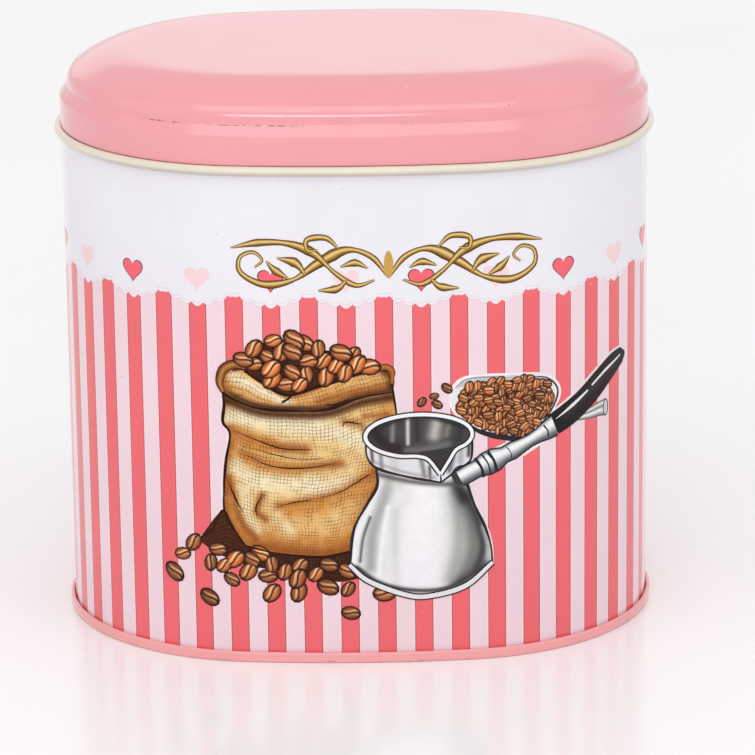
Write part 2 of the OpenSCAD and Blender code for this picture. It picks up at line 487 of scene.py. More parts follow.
def base_colour(tree):
    place = millimetres(tree)
    height = add(tree, "SeparateXYZ", place).outputs[2]
    low = calc(tree, "SUBTRACT", 1.0, between(tree, height, 0.3, 1.1))
    rubs = between(tree, add(tree, "TexNoise", place, None, 0.35, 4.0, 0.7).outputs[0], 0.56, 0.68)
    worn = calc(tree, "MULTIPLY", calc(tree, "MULTIPLY", low, rubs), 0.7)
    return mix(tree, worn, ink(245, 166, 168), ink(176, 128, 116))


def neck_colour(tree):
    height = add(tree, "SeparateXYZ", millimetres(tree)).outputs[2]
    # painted shade: the cream is greyer below the bead's middle, where the bead turns under
    low = between(tree, height, bead_mid - bead_r, bead_mid + 0.4)
    return mix(tree, low, ink(196, 188, 172), ink(231, 222, 204))


lid_enamel = enamelled("lid_pink_enamel", lid_colour, 0.4, 0.35, 0.55)
base_enamel = enamelled("base_pink_enamel", base_colour, 0.3, 0.35, 0.5)
neck_lacquer = enamelled("neck_cream_lacquer", neck_colour, 0.2, 0.3, 0.35)

# %% [markdown]
# ## The printed sheet
#
# Forty-five red stripes go round the tin on pale pink. Above them is a white band whose edge is
# cut like lace: one wide scallop for every two stripes, each edged with six small ones. All of it
# repeats along the sheet, so it is worked out in the finish from two numbers, along and height. A
# picture would do, but it would blur up close, and these edges stay sharp. The last strip before
# the seam is left unprinted, because ink there would spoil the join.

# %% Work out stripes and lace
stripe_count = 45
period = 2 * half_round / stripe_count
stripe_edge = 4.675
heart_at, heart_gap = stripe_edge + period / 4 - period, 2 * period
lace_low, lace_depth, small_depth, small_per_wide = 91.4, 3.2, 1.05, 6
bare_strip, groove_half, dark_edge, pale_edge, scallop_bend = 2.9, 0.22, 0.2, 0.22, 1.45


def wall_colour(tree):
    along = noted(tree, "along")[0]
    height = add(tree, "SeparateXYZ", millimetres(tree)).outputs[2]
    stripes = calc(tree, "DIVIDE", calc(tree, "SUBTRACT", along, stripe_edge), period)
    stripe_phase = calc(tree, "FRACT", stripes)
    from_middle = calc(tree, "ABSOLUTE", calc(tree, "SUBTRACT", stripe_phase, 0.25))
    wrapped = calc(tree, "MINIMUM", from_middle, calc(tree, "SUBTRACT", 1.0, from_middle))
    into_red = calc(tree, "MULTIPLY", calc(tree, "SUBTRACT", 0.25, wrapped), period)

    def past(edge, before, after):
        return mix(tree, calc(tree, "GREATER_THAN", into_red, edge), before, after)

    red = past(dark_edge, ink(158, 70, 80), ink(241, 98, 106))
    pink = past(-pale_edge, ink(243, 216, 226), ink(252, 230, 232))
    striped = past(0.0, pink, red)

    def scallop(width, depth):
        turns = calc(tree, "DIVIDE", calc(tree, "SUBTRACT", along, heart_at - width / 2), width)
        across = calc(tree, "SUBTRACT", calc(tree, "MULTIPLY", calc(tree, "FRACT", turns), 2.0), 1.0)
        bulge = calc(tree, "COSINE", calc(tree, "MULTIPLY", across, scallop_bend))
        return calc(tree, "MULTIPLY", bulge, -depth)

    small = scallop(heart_gap / small_per_wide, small_depth)
    lace = calc(tree, "ADD", scallop(heart_gap, lace_depth), small)
    above = calc(tree, "SUBTRACT", height, calc(tree, "ADD", lace, lace_low + lace_depth))
    fold = calc(tree, "ABSOLUTE", calc(tree, "SUBTRACT", above, 0.9))
    stitch = between(tree, fold, 0.05, 0.2, 0.5, 0)
    line = calc(tree, "MAXIMUM", between(tree, above, 0.0, 0.35, 1, 0), stitch)
    white = mix(tree, line, ink(238, 236, 244), ink(229, 192, 203))
    printed = mix(tree, calc(tree, "GREATER_THAN", above, 0.0), striped, white)
    from_seam = calc(tree, "SUBTRACT", half_round, calc(tree, "ABSOLUTE", along))
    unprinted = calc(tree, "LESS_THAN", from_seam, bare_strip)
    with_strip = mix(tree, unprinted, printed, ink(198, 196, 194))
    groove = calc(tree, "SUBTRACT", 1.0, between(tree, from_seam, 0.0, groove_half))
    return mix(tree, groove, with_strip, ink(70, 66, 64))


print_enamel = enamelled("wall_print", wall_colour, 0.12, 0.25, 0.3)
finishes = (
    (lid, "lid", "lid", lid_enamel, "lid_enamel"),
    (neck, "neck_ring", "tin", neck_lacquer, "cream_lacquer"),
    (base, "bottom_end", "tin", base_enamel, "base_enamel"),
    (wall, "body_shell", "tin", print_enamel, "printed_wall"))
for made, node, body, finish, slot in finishes:
    made.data.materials.append(finish)
    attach(made, body)
    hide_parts(node)

# %% [markdown]
# ## A printing press for flat art
#
# The picture on the front is printed flat, so it is drawn flat here: each shape is a patch of ink
# on the sheet, in mm along and mm up. An image wrapped round the tin would be quicker, but drawn
# patches stay sharp and can be moved. A patch is a thin closed film, and later layers of ink lie a
# little higher than earlier ones, as on a real press. `smooth_line` bends through its points,
# `quilt` fills the space between four lines, and `stroke` is one line of a pen.

# %% Lines, quilts and pen strokes
def smooth_line(points, per_gap=10):
    """A smooth line through some points."""
    p = np.array(points, float)
    p = np.vstack([2 * p[0] - p[1], p, 2 * p[-1] - p[-2]])
    t = np.linspace(0, 1, per_gap, endpoint=False)[:, None]
    parts = []
    for a, b, c, d in zip(p, p[1:], p[2:], p[3:]):
        parts.append(b + (c - a) * t / 2 + (2 * a - 5 * b + 4 * c - d) * t**2 / 2
                     + (3 * b - a - 3 * c + d) * t**3 / 2)
    return np.vstack([*parts, p[-2:-1]])


def evenly(line, count):
    """The same line in equal steps."""
    run = np.concatenate([[0], np.cumsum(np.linalg.norm(np.diff(line, axis=0), axis=1))])
    where = np.linspace(0, run[-1], count)
    return np.stack([np.interp(where, run, line[:, k]) for k in (0, 1)], 1)


def quilt(bottom, top, left, right, columns, rows):
    """A grid of points that fills the space between four smooth lines."""
    b, t = evenly(smooth_line(bottom), columns), evenly(smooth_line(top), columns)
    l, r = evenly(smooth_line(left), rows)[:, None], evenly(smooth_line(right), rows)[:, None]
    u, v = np.linspace(0, 1, columns)[None, :, None], np.linspace(0, 1, rows)[:, None, None]
    corners = (1 - v) * ((1 - u) * b[0] + u * b[-1]) + v * ((1 - u) * t[0] + u * t[-1])
    return (1 - v) * b + v * t + (1 - u) * l + u * r - corners


def stroke(points, widths, columns=3, step=0.6):
    """A grid of points along a smooth line. Its widths are spread evenly from end to end."""
    line = smooth_line(points)
    length = np.linalg.norm(np.diff(line, axis=0), axis=1).sum()
    line = evenly(line, max(6, round(length / step)))
    ahead = np.gradient(line, axis=0)
    side = np.stack([-ahead[:, 1], ahead[:, 0]], 1) / np.linalg.norm(ahead, axis=1)[:, None]
    wide = np.interp(np.linspace(0, 1, len(line)), np.linspace(0, 1, len(widths)), widths)
    across = np.linspace(0.5, -0.5, columns)
    return line[:, None] + side[:, None] * (wide[:, None] * across)[:, :, None]


def oval(centre, half_wide, half_tall, columns, rows):
    """A grid of points that fills an ellipse."""
    u, v = np.linspace(-1, 1, columns)[None, :], np.linspace(-1, 1, rows)[:, None]
    round_u, round_v = u * np.sqrt(1 - v * v / 2), v * np.sqrt(1 - u * u / 2)
    return np.array(centre) + np.stack([round_u * half_wide, round_v * half_tall], 2)


def loop_line(centre, half_wide, half_tall, start=0, end=360):
    """Points along part of an ellipse."""
    turns = np.radians(np.linspace(start, end, 17))
    return [(centre[0] + half_wide * math.cos(a), centre[1] + half_tall * math.sin(a)) for a in turns]


# %% [markdown]
# ## Ink, brush and roller
#
# A `Print` gathers the patches of one printed picture. `brush` is the watercolourist's soft brush:
# it tints the points near a line, so folds and gleams are painted stroke by stroke. `rolled` is
# the roller at the end of the press line. It bends anything flat onto the wall.

# %% Ink, brush and roller
film = 0.008


def brush(inks, places, points, width, tint, strength):
    """Tints the places near a smooth line, softly, in colours from 0 to 255."""
    line = smooth_line(points)
    length = np.linalg.norm(np.diff(line, axis=0), axis=1).sum()
    line = evenly(line, max(4, round(2.5 * length / width)))
    gap = np.full(places.shape[:2], 1e9)
    for spot in line:
        gap = np.minimum(gap, np.linalg.norm(places - spot, axis=2))
    share = strength * np.exp(-((gap / width) ** 2))[:, :, None]
    return inks * (1 - share) + np.array(tint, float) * share


def rolled(points):
    """Bends flat points (along, height, off the sheet) onto the outside of the wall."""
    x, y = wall_place(points[:, 0], points[:, 2])
    return np.stack([x, y, points[:, 1]], 1)


class Print:
    """The patches of one picture while it is still flat."""

    def __init__(self):
        self.points, self.faces, self.inks, self.weave = [], [], [], []
        self.count = 0

    def patch(self, places, lift, inks):
        """Adds a grid of points as a closed film at some height off the sheet."""
        rows, columns = places.shape[:2]
        inks = np.broadcast_to(np.array(inks, float), (rows, columns, 3)).reshape(-1, 3)
        flat = places.reshape(-1, 2)
        for level in (lift + film, lift):
            self.points.append(np.column_stack([flat, np.full(len(flat), level)]))
            self.inks.append(inks)
        v, u = np.mgrid[0:1:rows * 1j, 0:1:columns * 1j]
        tall = np.linalg.norm(np.diff(places[:, columns // 2], axis=0), axis=1).sum()
        wide = np.linalg.norm(np.diff(places[rows // 2], axis=0), axis=1).sum()
        self.weave += [np.column_stack([u.ravel() * wide, v.ravel() * tall, u.ravel() * 0])] * 2
        seat = np.arange(rows * columns).reshape(rows, columns) + self.count
        quads = np.stack([seat[:-1, :-1], seat[:-1, 1:], seat[1:, 1:], seat[1:, :-1]], 2).reshape(-1, 4)
        under = rows * columns
        self.faces += quads.tolist() + (quads[:, ::-1] + under).tolist()
        rim = np.concatenate([seat[0], seat[1:, -1], seat[-1, -2::-1], seat[-2:0:-1, 0]])
        after = np.roll(rim, -1)
        self.faces += np.stack([rim, rim + under, after + under, after], 1).tolist()
        self.count += 2 * under

    def line(self, points, widths, lift, inks, step=0.5):
        self.patch(stroke(points, widths, step=step), lift, inks)

    def lines(self, drawn, lift, rise, inks, step=0.5):
        """Several pen strokes, each a little higher than the last."""
        for level, (points, widths) in enumerate(drawn):
            self.line(points, widths, lift + rise * level, inks, step)

    def shaded_line(self, points, widths, lift, tints, step=0.6):
        """A stroke with one colour for each place across it, from its left side to its right."""
        grid = stroke(points, widths, len(tints), step)
        self.patch(grid, lift, np.broadcast_to(np.array(tints, float), (*grid.shape[:2], 3)))

    def painted(self, places, lift, ground, strokes):
        """A patch with one ground colour, and soft strokes of the brush over it."""
        tone = np.broadcast_to(np.array(ground, float), (*places.shape[:2], 3))
        for points, width, tint, strength in strokes:
            tone = brush(tone, places, points, width, tint, strength)
        self.patch(places, lift, tone)

    def finish(self, name, finish):
        made = mesh_object(name, rolled(np.vstack(self.points)), self.faces)
        share = np.vstack(self.inks) / 255
        linear = np.where(share < 0.04045, share / 12.92, ((share + 0.055) / 1.055) ** 2.4)
        note(made, "ink", "FLOAT_COLOR", np.column_stack([linear, np.ones(len(linear))]))
        note(made, "weave", "FLOAT_VECTOR", np.vstack(self.weave))
        made.data.materials.append(finish)
        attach(made, "tin")
        print(f"{name}: {len(self.faces)} faces")
        return made


# %% [markdown]
# ## Printing inks
#
# Ink over white enamel is never quite even. It pools a little, as watercolour does, and the
# varnish over it takes the same finger marks as the enamel. The picture's colours come from its
# points. Sacking gets a fine grid of threads on top, which is drawn in the finish, because there
# are far too many threads to draw one by one.

# %% Mix the printing inks
thread_gap = 0.86
wash, wash_in, wash_out = effect(
    "watercolour_wash", {"Color": "Color", "Pooling": "Float"}, {"Color": "Color"})
pools = add(wash, "TexNoise", millimetres(wash), None, 0.55, 5.0, 0.65).outputs[0]
deep = add(wash, "HueSaturation", 0.5, 1.15, 0.72, 1.0, wash_in["Color"]).outputs[0]
pale_wash = add(wash, "HueSaturation", 0.5, 0.9, 1.05, 1.0, wash_in["Color"]).outputs[0]
pooled = mix(wash, between(wash, pools, 0.3, 0.72), pale_wash, deep)
join(wash, wash_out["Color"], mix(wash, wash_in["Pooling"], wash_in["Color"], pooled))


def printed(name, pooling, threads=0.0, metal=0.0):
    """A finish for printed ink, with the threads of sacking or the metal of foil if wanted."""
    made, tree, surface = blank_finish(name)
    colour = noted(tree, "ink")[1]
    if threads:
        stored = add(tree, "Attribute", attribute_name="weave").outputs["Vector"]
        weave = add(tree, "SeparateXYZ", stored).outputs
        place = millimetres(tree)
        wander = add(tree, "TexNoise", place, None, 0.25, 2.0).outputs[0]
        breaks = add(tree, "TexNoise", place, None, 0.4, 3.0).outputs[0]
        shares = []
        for side in (0, 1):
            bent = calc(tree, "MULTIPLY_ADD", wander, 1.1, weave[side])
            beat = calc(tree, "FRACT", calc(tree, "DIVIDE", bent, thread_gap))
            from_mid = calc(tree, "ABSOLUTE", calc(tree, "SUBTRACT", beat, 0.5))
            shares.append(between(tree, from_mid, 0.34, 0.48))
        unbroken = between(tree, breaks, 0.32, 0.58, 0.12, 1.0)
        grid = calc(tree, "MULTIPLY", calc(tree, "MAXIMUM", *shares), unbroken)
        colour = mix(tree, calc(tree, "MULTIPLY", grid, threads), colour, ink(98, 58, 22))
    washed = add(tree, "Group", node_tree=wash)
    join(tree, washed.inputs["Color"], colour)
    join(tree, washed.inputs["Pooling"], pooling)
    coat = add(tree, "Group", node_tree=skin)
    join(tree, coat.inputs["Color"], washed.outputs["Color"])
    join(tree, coat.inputs["Speck Share"], 0.0)
    join(tree, coat.inputs["Peel"], 0.25)
    join(tree, surface.inputs["Base Color"], coat.outputs["Color"])
    join(tree, surface.inputs["Roughness"], coat.outputs["Roughness"])
    surface.inputs["Metallic"].default_value = metal
    surface.inputs["Specular IOR Level"].default_value = 0.1
    return made


picture_ink = printed("picture_ink", 0.35)
sacking_ink = printed("sacking_ink", 0.4, threads=0.7)
steel_ink = printed("steel_ink", 0.15)
gold_foil = printed("gold_foil", 0.1, metal=0.3)

# %% [markdown]
# ## A thin white edge
#
# Cut-out pictures on a patterned ground usually keep a hair of white round them, so that a small
# slip between two printing plates never shows. It could be an outline in each picture, but one
# plate of plain white strokes, printed first, does it for all of them.

# %% The white under-print
sack_left = [(-27.5, 29.8), (-32.3, 37.4), (-32.7, 44.1), (-32.0, 51.8), (-30.9, 58.5), (-32.6, 61.5),
    (-32.2, 66), (-32.8, 71)]
sack_right = [(0, 29), (4.5, 36), (6, 44), (7.5, 52), (9.8, 60), (9, 69), (7.8, 75)]
heap_edge = [(-29.5, 75.5), (-27, 78.6), (-21.1, 81.8), (-14.3, 82.2), (-8.5, 80), (-0.4, 78.4),
    (4.4, 75.8), (7.8, 74.3)]
spill_edge = [(-28, 29.5), (-31, 35.5), (-33.2, 38.8), (-36, 33.5), (-39.4, 31)]
pot_left = [(-2.1, 25), (-1, 34.2), (2.3, 40.8), (4.8, 45.4), (4.7, 49.6)]
pot_right = [(32.9, 24.4), (32.6, 28.9), (31.1, 34.1), (28.7, 39.5), (26.6, 45.8)]
pot_foot = [(-2.2, 25.2), (2.4, 21), (11.3, 17.3), (17.2, 16.7), (26.2, 19), (33, 24.7)]
mouth_at, mouth_wide, mouth_tall = (15.1, 58), 13, 5.4
handle_top = [(47.5, 60.5), (55.9, 64.7), (62.7, 69), (68.6, 72), (73, 72.8)]
ferrule_line = [(25, 46.8), (30.7, 49.7), (38.8, 53.2), (44.7, 55.8), (49.6, 57.8)]
scoop_edge = [(42, 55.2), (33, 57.2), (26.2, 61.4), (23.3, 65.4), (23.8, 69.8), (27.5, 72.2),
    (38.9, 72), (47.5, 70.6), (51, 66.4), (48.4, 61.4), (42.4, 55.4)]
outlines = [sack_left, sack_right, heap_edge, spill_edge, pot_left, pot_right, pot_foot,
            loop_line(mouth_at, mouth_wide, mouth_tall), handle_top, ferrule_line, scoop_edge]
white = Print()
for level, edge in enumerate(outlines):
    plump = 5.6 if edge is ferrule_line else 1.3
    white.line(edge, [plump * 0.6, plump, plump, plump * 0.8], 0.001 * level, (250, 240, 243), step=0.9)
white.finish("white_underprint", picture_ink)

# %% [markdown]
# ## The sack
#
# The picture's sack is open at the top with a rolled collar, full of beans. It is painted as a
# watercolourist would: a pale straw ground, brown washed into the folds and down the sides, and
# cream left bare where light falls. The brown of the spill and of the sack's mouth goes first.

# %% Paint the sack
straw, cream_light, tan, brown, umber = (246, 208, 140), (255, 244, 208), (216, 140, 62), (158, 84,
    30), (52, 24, 10)
collar_top = [(-32.8, 73.8), (-27.1, 74.6), (-22.3, 71.4), (-16.5, 68.6), (-8.7, 71), (1, 73.9),
    (7.8, 75.2)]
collar_low = [(-32.8, 69.5), (-31.2, 68), (-24.4, 65.3), (-16.1, 64.7), (-7.3, 65), (0.9, 67.9),
    (9, 69.3)]
sack = Print()
mouth = quilt([(-31, 72.5), (-22.3, 70.5), (-16.5, 67.8), (-8.7, 70.2), (7.6, 74)], heap_edge,
              [(-31, 72.5), (-29.5, 75.5)], [(7.6, 74), (7.8, 74.3)], 40, 16)
sack.patch(mouth, 0.014, (62, 29, 14))
spill = quilt([(-39.4, 30.6), (-35, 27.8), (-28, 25), (-20, 23.6), (-12, 22), (-5, 20.8), (0, 21.6)],
              [(-39.2, 31.2), (-33.2, 38.8), (-29, 37), (-25, 34), (-14, 32), (0, 34)],
              [(-39.4, 30.6), (-39.2, 31.2)], [(0, 21.6), (0, 34)], 44, 12)
sack.patch(spill, 0.014, (56, 29, 16))

cloth = quilt([(-27.5, 29.8), (-19.2, 28), (-9.4, 27.3), (0, 29)], collar_low,
              sack_left[:-1] + [(-32.8, 69.5)], sack_right[:-2] + [(9, 69.3)], 110, 110)
cloth_strokes = [
    (sack_left, 3.6, tan, 0.9), (sack_left, 1.3, brown, 0.8), (sack_right, 4.5, tan, 0.8),
    ([(-26, 31.5), (-15, 29.5), (-5, 29.5), (1, 32)], 4.5, tan, 0.95),
    ([(-25, 30), (-15, 28.4), (-5, 28.4), (1, 31)], 1.8, brown, 0.85),
    ([(1.5, 33), (3, 40), (4.5, 46)], 3, brown, 0.6),
    ([(-31, 63), (-20, 61.5), (-9, 60.3), (1, 57.5)], 2.8, cream_light, 0.95),
    ([(-29, 50), (-24, 46.5), (-16, 46.5), (-7, 44.8), (-2, 46)], 2.9, cream_light, 0.9),
    ([(-28, 44), (-27, 38), (-24.5, 34)], 1.8, cream_light, 0.7),
    ([(-19, 38), (-17, 34)], 2, cream_light, 0.6),
    ([(-30.5, 59.2), (-25, 57.2), (-18.7, 55.4), (-12.8, 54.9)], 1.5, brown, 0.85),
    ([(-30, 58.2), (-22, 55.6)], 2.4, tan, 0.8),
    ([(-28, 53.6), (-20.7, 50.6), (-13.9, 50.2), (-4, 51.2)], 1.3, brown, 0.75),
    ([(-26, 51.6), (-15, 49.6)], 2, tan, 0.7),
    ([(4, 49), (-4.2, 44), (-11.1, 41.9), (-19.4, 40.3)], 1.1, brown, 0.7),
    ([(2, 45.6), (-8, 40.5), (-17, 38.8)], 2.3, tan, 0.75),
    ([(-23.3, 43), (-24.6, 39), (-22.6, 36.8)], 0.9, brown, 0.9),
    ([(-31.4, 47), (-28.7, 36.5), (-25, 32)], 1, brown, 0.75),
    ([(-3, 62), (1, 61), (2.6, 58.4)], 1.1, brown, 0.6),
    ([(2, 63.2), (7.4, 63.6)], 0.9, brown, 0.7),
    ([(-31.5, 67), (-24, 64.2), (-16, 63.6), (-7, 63.9), (1, 66.6), (8.6, 68)], 1.2, umber, 0.85)]
sack.painted(cloth, 0.026, straw, cloth_strokes)

collar = quilt(collar_low, collar_top, [(-32.8, 69.5), (-33.6, 71.5), (-32.8, 73.8)],
    [(9, 69.3), (9.3, 72.4), (7.8, 75.2)], 110, 22)
collar_strokes = [
    ([(-29.5, 73), (-23, 69.7), (-16.8, 66.9)], 1.5, cream_light, 0.95),
    ([(-12, 68.2), (-3, 70.8), (5, 72.4)], 1.4, (240, 186, 116), 0.7),
    ([(-31.8, 69.2), (-24.4, 66), (-16.1, 65.3), (-7.3, 65.6), (0.9, 68.4), (8.8, 69.9)], 0.8, umber,
    0.85),
    ([(-9, 67), (0, 69.4), (8, 71)], 1.2, brown, 0.65), ([(-33, 72), (-31.8, 69.5)], 1.6, brown, 0.8),
    ([(-22, 71), (-16.5, 68.2), (-8.7, 70.6)], 0.5, brown, 0.7),
    ([(6.4, 74.6), (8.4, 73), (8.2, 70.6)], 1, umber, 0.7)]
sack.painted(collar, 0.044, (228, 172, 100), collar_strokes)
sack.finish("sack_picture", sacking_ink)

# %% [markdown]
# ## Pen lines round the sack
#
# Over the washes comes the pen. Its lines swell and thin, and they break where the cloth turns
# to the light. The collar's two rolled corners are small strokes of brown over a darker one.

# %% Ink the sack's lines
pen = Print()
pen_lines = [
    (sack_left, [0.3, 0.7, 0.4, 0.8, 0.5, 0.9, 0.4]),
    ([(-27.5, 29.8), (-19.2, 28), (-9.4, 27.3), (0, 29)], [0.6, 0.3, 0.8, 0.4, 0.9]),
    (sack_right[3:], [0.2, 0.5, 0.4, 0.6, 0.3]), (heap_edge, [0.3, 0.8, 0.5, 0.8, 0.4]),
    (collar_low, [0.9, 0.5, 0.9, 0.4, 1.0, 0.5, 0.3]), (collar_top[1:], [0.5, 0.9, 0.6, 1.1, 0.5, 0.4]),
    (spill_edge, [0.2, 0.6, 0.3]),
    ([(-29.9, 59.4), (-24, 57), (-18, 55), (-11, 54.8)], [0.1, 0.35, 0.15]),
    ([(-27, 53.2), (-20.7, 50.5), (-13, 50.1), (-5, 51.3)], [0.1, 0.4, 0.1]),
    ([(-28, 55.6), (-16, 52.6), (-8, 52.6)], [0.1, 0.25, 0.1]),
    ([(3, 48.4), (-4.2, 44), (-9, 42.6)], [0.3, 0.25, 0.1]),
    ([(-11, 42), (-15, 41.4), (-19.4, 40.2)], [0.1, 0.3, 0.1]),
    ([(-23.4, 43), (-24.9, 39.8), (-24.6, 37.6)], [0.1, 0.4, 0.2]),
    ([(-31.6, 46.4), (-29.4, 41), (-28, 38.6)], [0.1, 0.5, 0.1]),
    ([(-3.4, 60.6), (-2.6, 61.8), (1.4, 61.2)], [0.2, 0.4, 0.1]),
    ([(-7.5, 66.2), (-4.5, 66.4), (-1, 68)], [0.2, 0.6, 0.1]),
    ([(-18, 66.8), (-16.6, 67.6), (-14.6, 69.4)], [0.6, 0.5, 0.1])]
pen.lines(pen_lines, 0.054, 0.0006, (40, 18, 8))
pen.shaded_line([(-26.8, 75.4), (-29.6, 76.2), (-32.2, 74.8), (-33.2, 71.6), (-32.4, 69.2)],
    [1, 2.4, 2.6, 2.2, 1.2], 0.07,
                [(60, 30, 14), (150, 92, 44), (196, 138, 78), (120, 70, 32), (54, 28, 14)])
pen.shaded_line([(4.4, 74.2), (6.8, 75.6), (8.6, 74.6), (8.6, 71.4)], [0.9, 1.6, 1.8, 0.6], 0.07,
                [(54, 28, 14), (196, 118, 56), (170, 92, 40), (54, 28, 14)])
pen.finish("sack_pen_lines", picture_ink)

# %% [markdown]
# ## The scoop and its beans' bed
#
# Behind the coffee pot lies a steel scoop. Only its bowl and the end of its handle show. The bowl
# is a pale shape with a dark line under its near edge, and dark brown inside, where the beans go.

# %% Paint the scoop
steel_white, steel_mid, steel_dark = (250, 250, 253), (150, 154, 152), (54, 56, 58)
steel_black, line_black = (44, 46, 48), (38, 40, 42)
scoop = Print()
bowl = quilt([(26.2, 61.4), (33, 57.2), (42, 55.2)],
    [(23.8, 69.8), (27.5, 72.2), (38.9, 72), (47.5, 70.6), (51, 66.4)],
             [(26.2, 61.4), (23.3, 65.4), (23.8, 69.8)], [(42, 55.2), (48.4, 61.4), (51, 66.4)], 34, 24)
bowl_shade = [([(25, 70.6), (33, 71.6), (41, 71.4)], 0.8, (178, 172, 172), 0.7)]
scoop.painted(bowl, 0.014, (236, 236, 236), bowl_shade)
bed = quilt([(27, 62.2), (33.4, 58.9), (42, 56.6)],
    [(25.2, 68.6), (28, 70.6), (38.9, 70.9), (47, 69.5), (49.2, 66)],
            [(27, 62.2), (24.8, 65.2), (25.2, 68.6)], [(42, 56.6), (47.4, 62), (49.2, 66)], 26, 18)
scoop.patch(bed, 0.026, (84, 48, 24))
scoop_lines = [
    ([(26.2, 61.2), (31, 58), (42, 55)], [0.6, 1.5, 1.3], (46, 44, 46)),
    ([(27, 62), (33, 58.6), (41.6, 56.2)], [0.3, 0.5, 0.4], (235, 233, 236)),
    ([(41.8, 55.4), (48, 61), (50.6, 66.4), (47.6, 70.2), (42, 71.2)], [0.5, 0.4, 0.6, 0.4, 0.2],
    (70, 66, 68)),
    ([(24, 69.8), (27.5, 72), (36, 72.1)], [0.2, 0.35, 0.2], (150, 146, 148))]
for level, (points, widths, tint) in enumerate(scoop_lines):
    scoop.line(points, widths, 0.036 + 0.001 * level, tint)
scoop.shaded_line([(55, 58.6), (60.5, 58.7), (64, 59), (66.8, 59)], [1.6, 2.4, 3.4, 4.4], 0.03,
                  [(40, 42, 44), (240, 241, 244), (120, 122, 124), (250, 250, 252), (180, 182, 184),
                  (40, 42, 44)])
scoop.patch(oval((66.7, 58.9), 0.9, 2.1, 6, 8), 0.042, (206, 208, 212))
scoop.line(loop_line((66.7, 58.9), 0.9, 2.1), [0.3, 0.3], 0.052, steel_black, step=0.3)
scoop.finish("scoop_picture", steel_ink)

# %% [markdown]
# ## The coffee pot
#
# The pot is a long-handled Turkish one with a narrow neck and a spout in its rim. Polished steel
# is drawn with contrast rather than with grey: a big blank of white on the belly, thin bright
# streaks beside dark ones, and a dark side turned away from the light. The same strokes in one
# colour ramp would look like plastic, so each reflection is its own stroke of the brush.

# %% Paint the pot
pot = Print()
belly = quilt(pot_foot, [(4.7, 49.6), (11.6, 47.6), (18, 46.4), (22, 47.4), (26.6, 45.8)],
              [pot_foot[0]] + pot_left[1:], [pot_foot[-1]] + pot_right[1:], 110, 100)
belly_strokes = [
    ([(3, 24.5), (3.6, 33), (6, 40.5), (8, 46.5)], 1.6, steel_mid, 0.8),
    ([(9.6, 20), (9.2, 30), (9.6, 39)], 1.2, (172, 178, 170), 0.6),
    ([(10, 45.6), (13, 44), (12, 41)], 1.9, (206, 212, 198), 0.7),
    ([(5, 22.4), (6, 31.5), (7.4, 40)], 0.65, steel_white, 0.95),
    ([(14.5, 22.5), (14.8, 30), (15.6, 37), (16.6, 44.6)], 7.0, (252, 251, 255), 1.0),
    ([(12.6, 21), (13.4, 24)], 2.6, (246, 245, 253), 1.0),
    ([(20, 45), (21.6, 40), (21.5, 36)], 1.4, (236, 238, 240), 0.9),
    ([(22.6, 21), (24.4, 28), (24.6, 35), (23.8, 43)], 2, (168, 172, 168), 0.8),
    ([(25.6, 21), (28, 28), (27.6, 35), (25.2, 43)], 2.2, (112, 116, 113), 0.85),
    ([(29, 23), (30.6, 29), (29.2, 36), (26.4, 42.6)], 1.4, steel_dark, 0.9),
    ([(24.2, 45.2), (26, 41.5)], 1.5, steel_black, 0.9),
    ([(31.9, 26), (31.7, 30), (30.6, 34)], 0.6, (186, 190, 187), 0.75),
    ([(-1.2, 26), (-0.2, 33), (3, 40), (5.4, 46)], 0.6, steel_white, 0.9),
    ([(0.4, 26), (1.2, 32), (3, 37.4)], 0.35, (60, 62, 64), 0.8),
    ([(-0.4, 24.6), (5, 20.6), (13, 18.4), (22, 18.8), (31, 23.8)], 0.55, steel_black, 0.9),
    ([(24, 19.6), (31, 24.4)], 1.3, (70, 72, 74), 0.7),
    ([(5.2, 48.4), (12, 46.6), (19, 45.6), (25.4, 45.2)], 0.7, (84, 86, 86), 0.85)]
pot.painted(belly, 0.078, (232, 234, 233), belly_strokes)

band = quilt([(2.4, 53.2), (4.8, 50), (11.6, 47.8), (18, 46.3), (20.4, 46.1), (24.3, 48.6),
    (27.9, 51.8)],
             [(2.2, 58.4), (5, 56.2), (10, 54.6), (17, 54.2), (24, 55.2), (28.1, 58.4)],
             [(2.4, 53.2), (2.2, 58.4)], [(27.9, 51.8), (28.1, 58.4)], 90, 22)
band_strokes = [
    ([(3.4, 56.5), (3.8, 51.5)], 0.4, (66, 68, 72), 0.9),
    ([(5.6, 55.4), (6, 50)], 0.5, (120, 123, 126), 0.8),
    ([(9, 53.8), (9.4, 49)], 1.3, (206, 208, 210), 0.7),
    ([(15.6, 52), (16.4, 47.6)], 0.6, (110, 112, 114), 0.8),
    ([(17.6, 50), (17.8, 47)], 0.4, (50, 52, 54), 0.8),
    ([(23.2, 52), (22.4, 49)], 0.8, (92, 94, 97), 0.85),
    ([(25.4, 54.4), (25.2, 51)], 0.8, (160, 163, 166), 0.8),
    ([(27.4, 57), (27.2, 52.5)], 0.5, (52, 54, 56), 0.9),
    ([(4, 51.6), (11.6, 48.8), (19, 47.2)], 0.4, (150, 152, 156), 0.6)]
pot.painted(band, 0.09, (232, 233, 237), band_strokes)

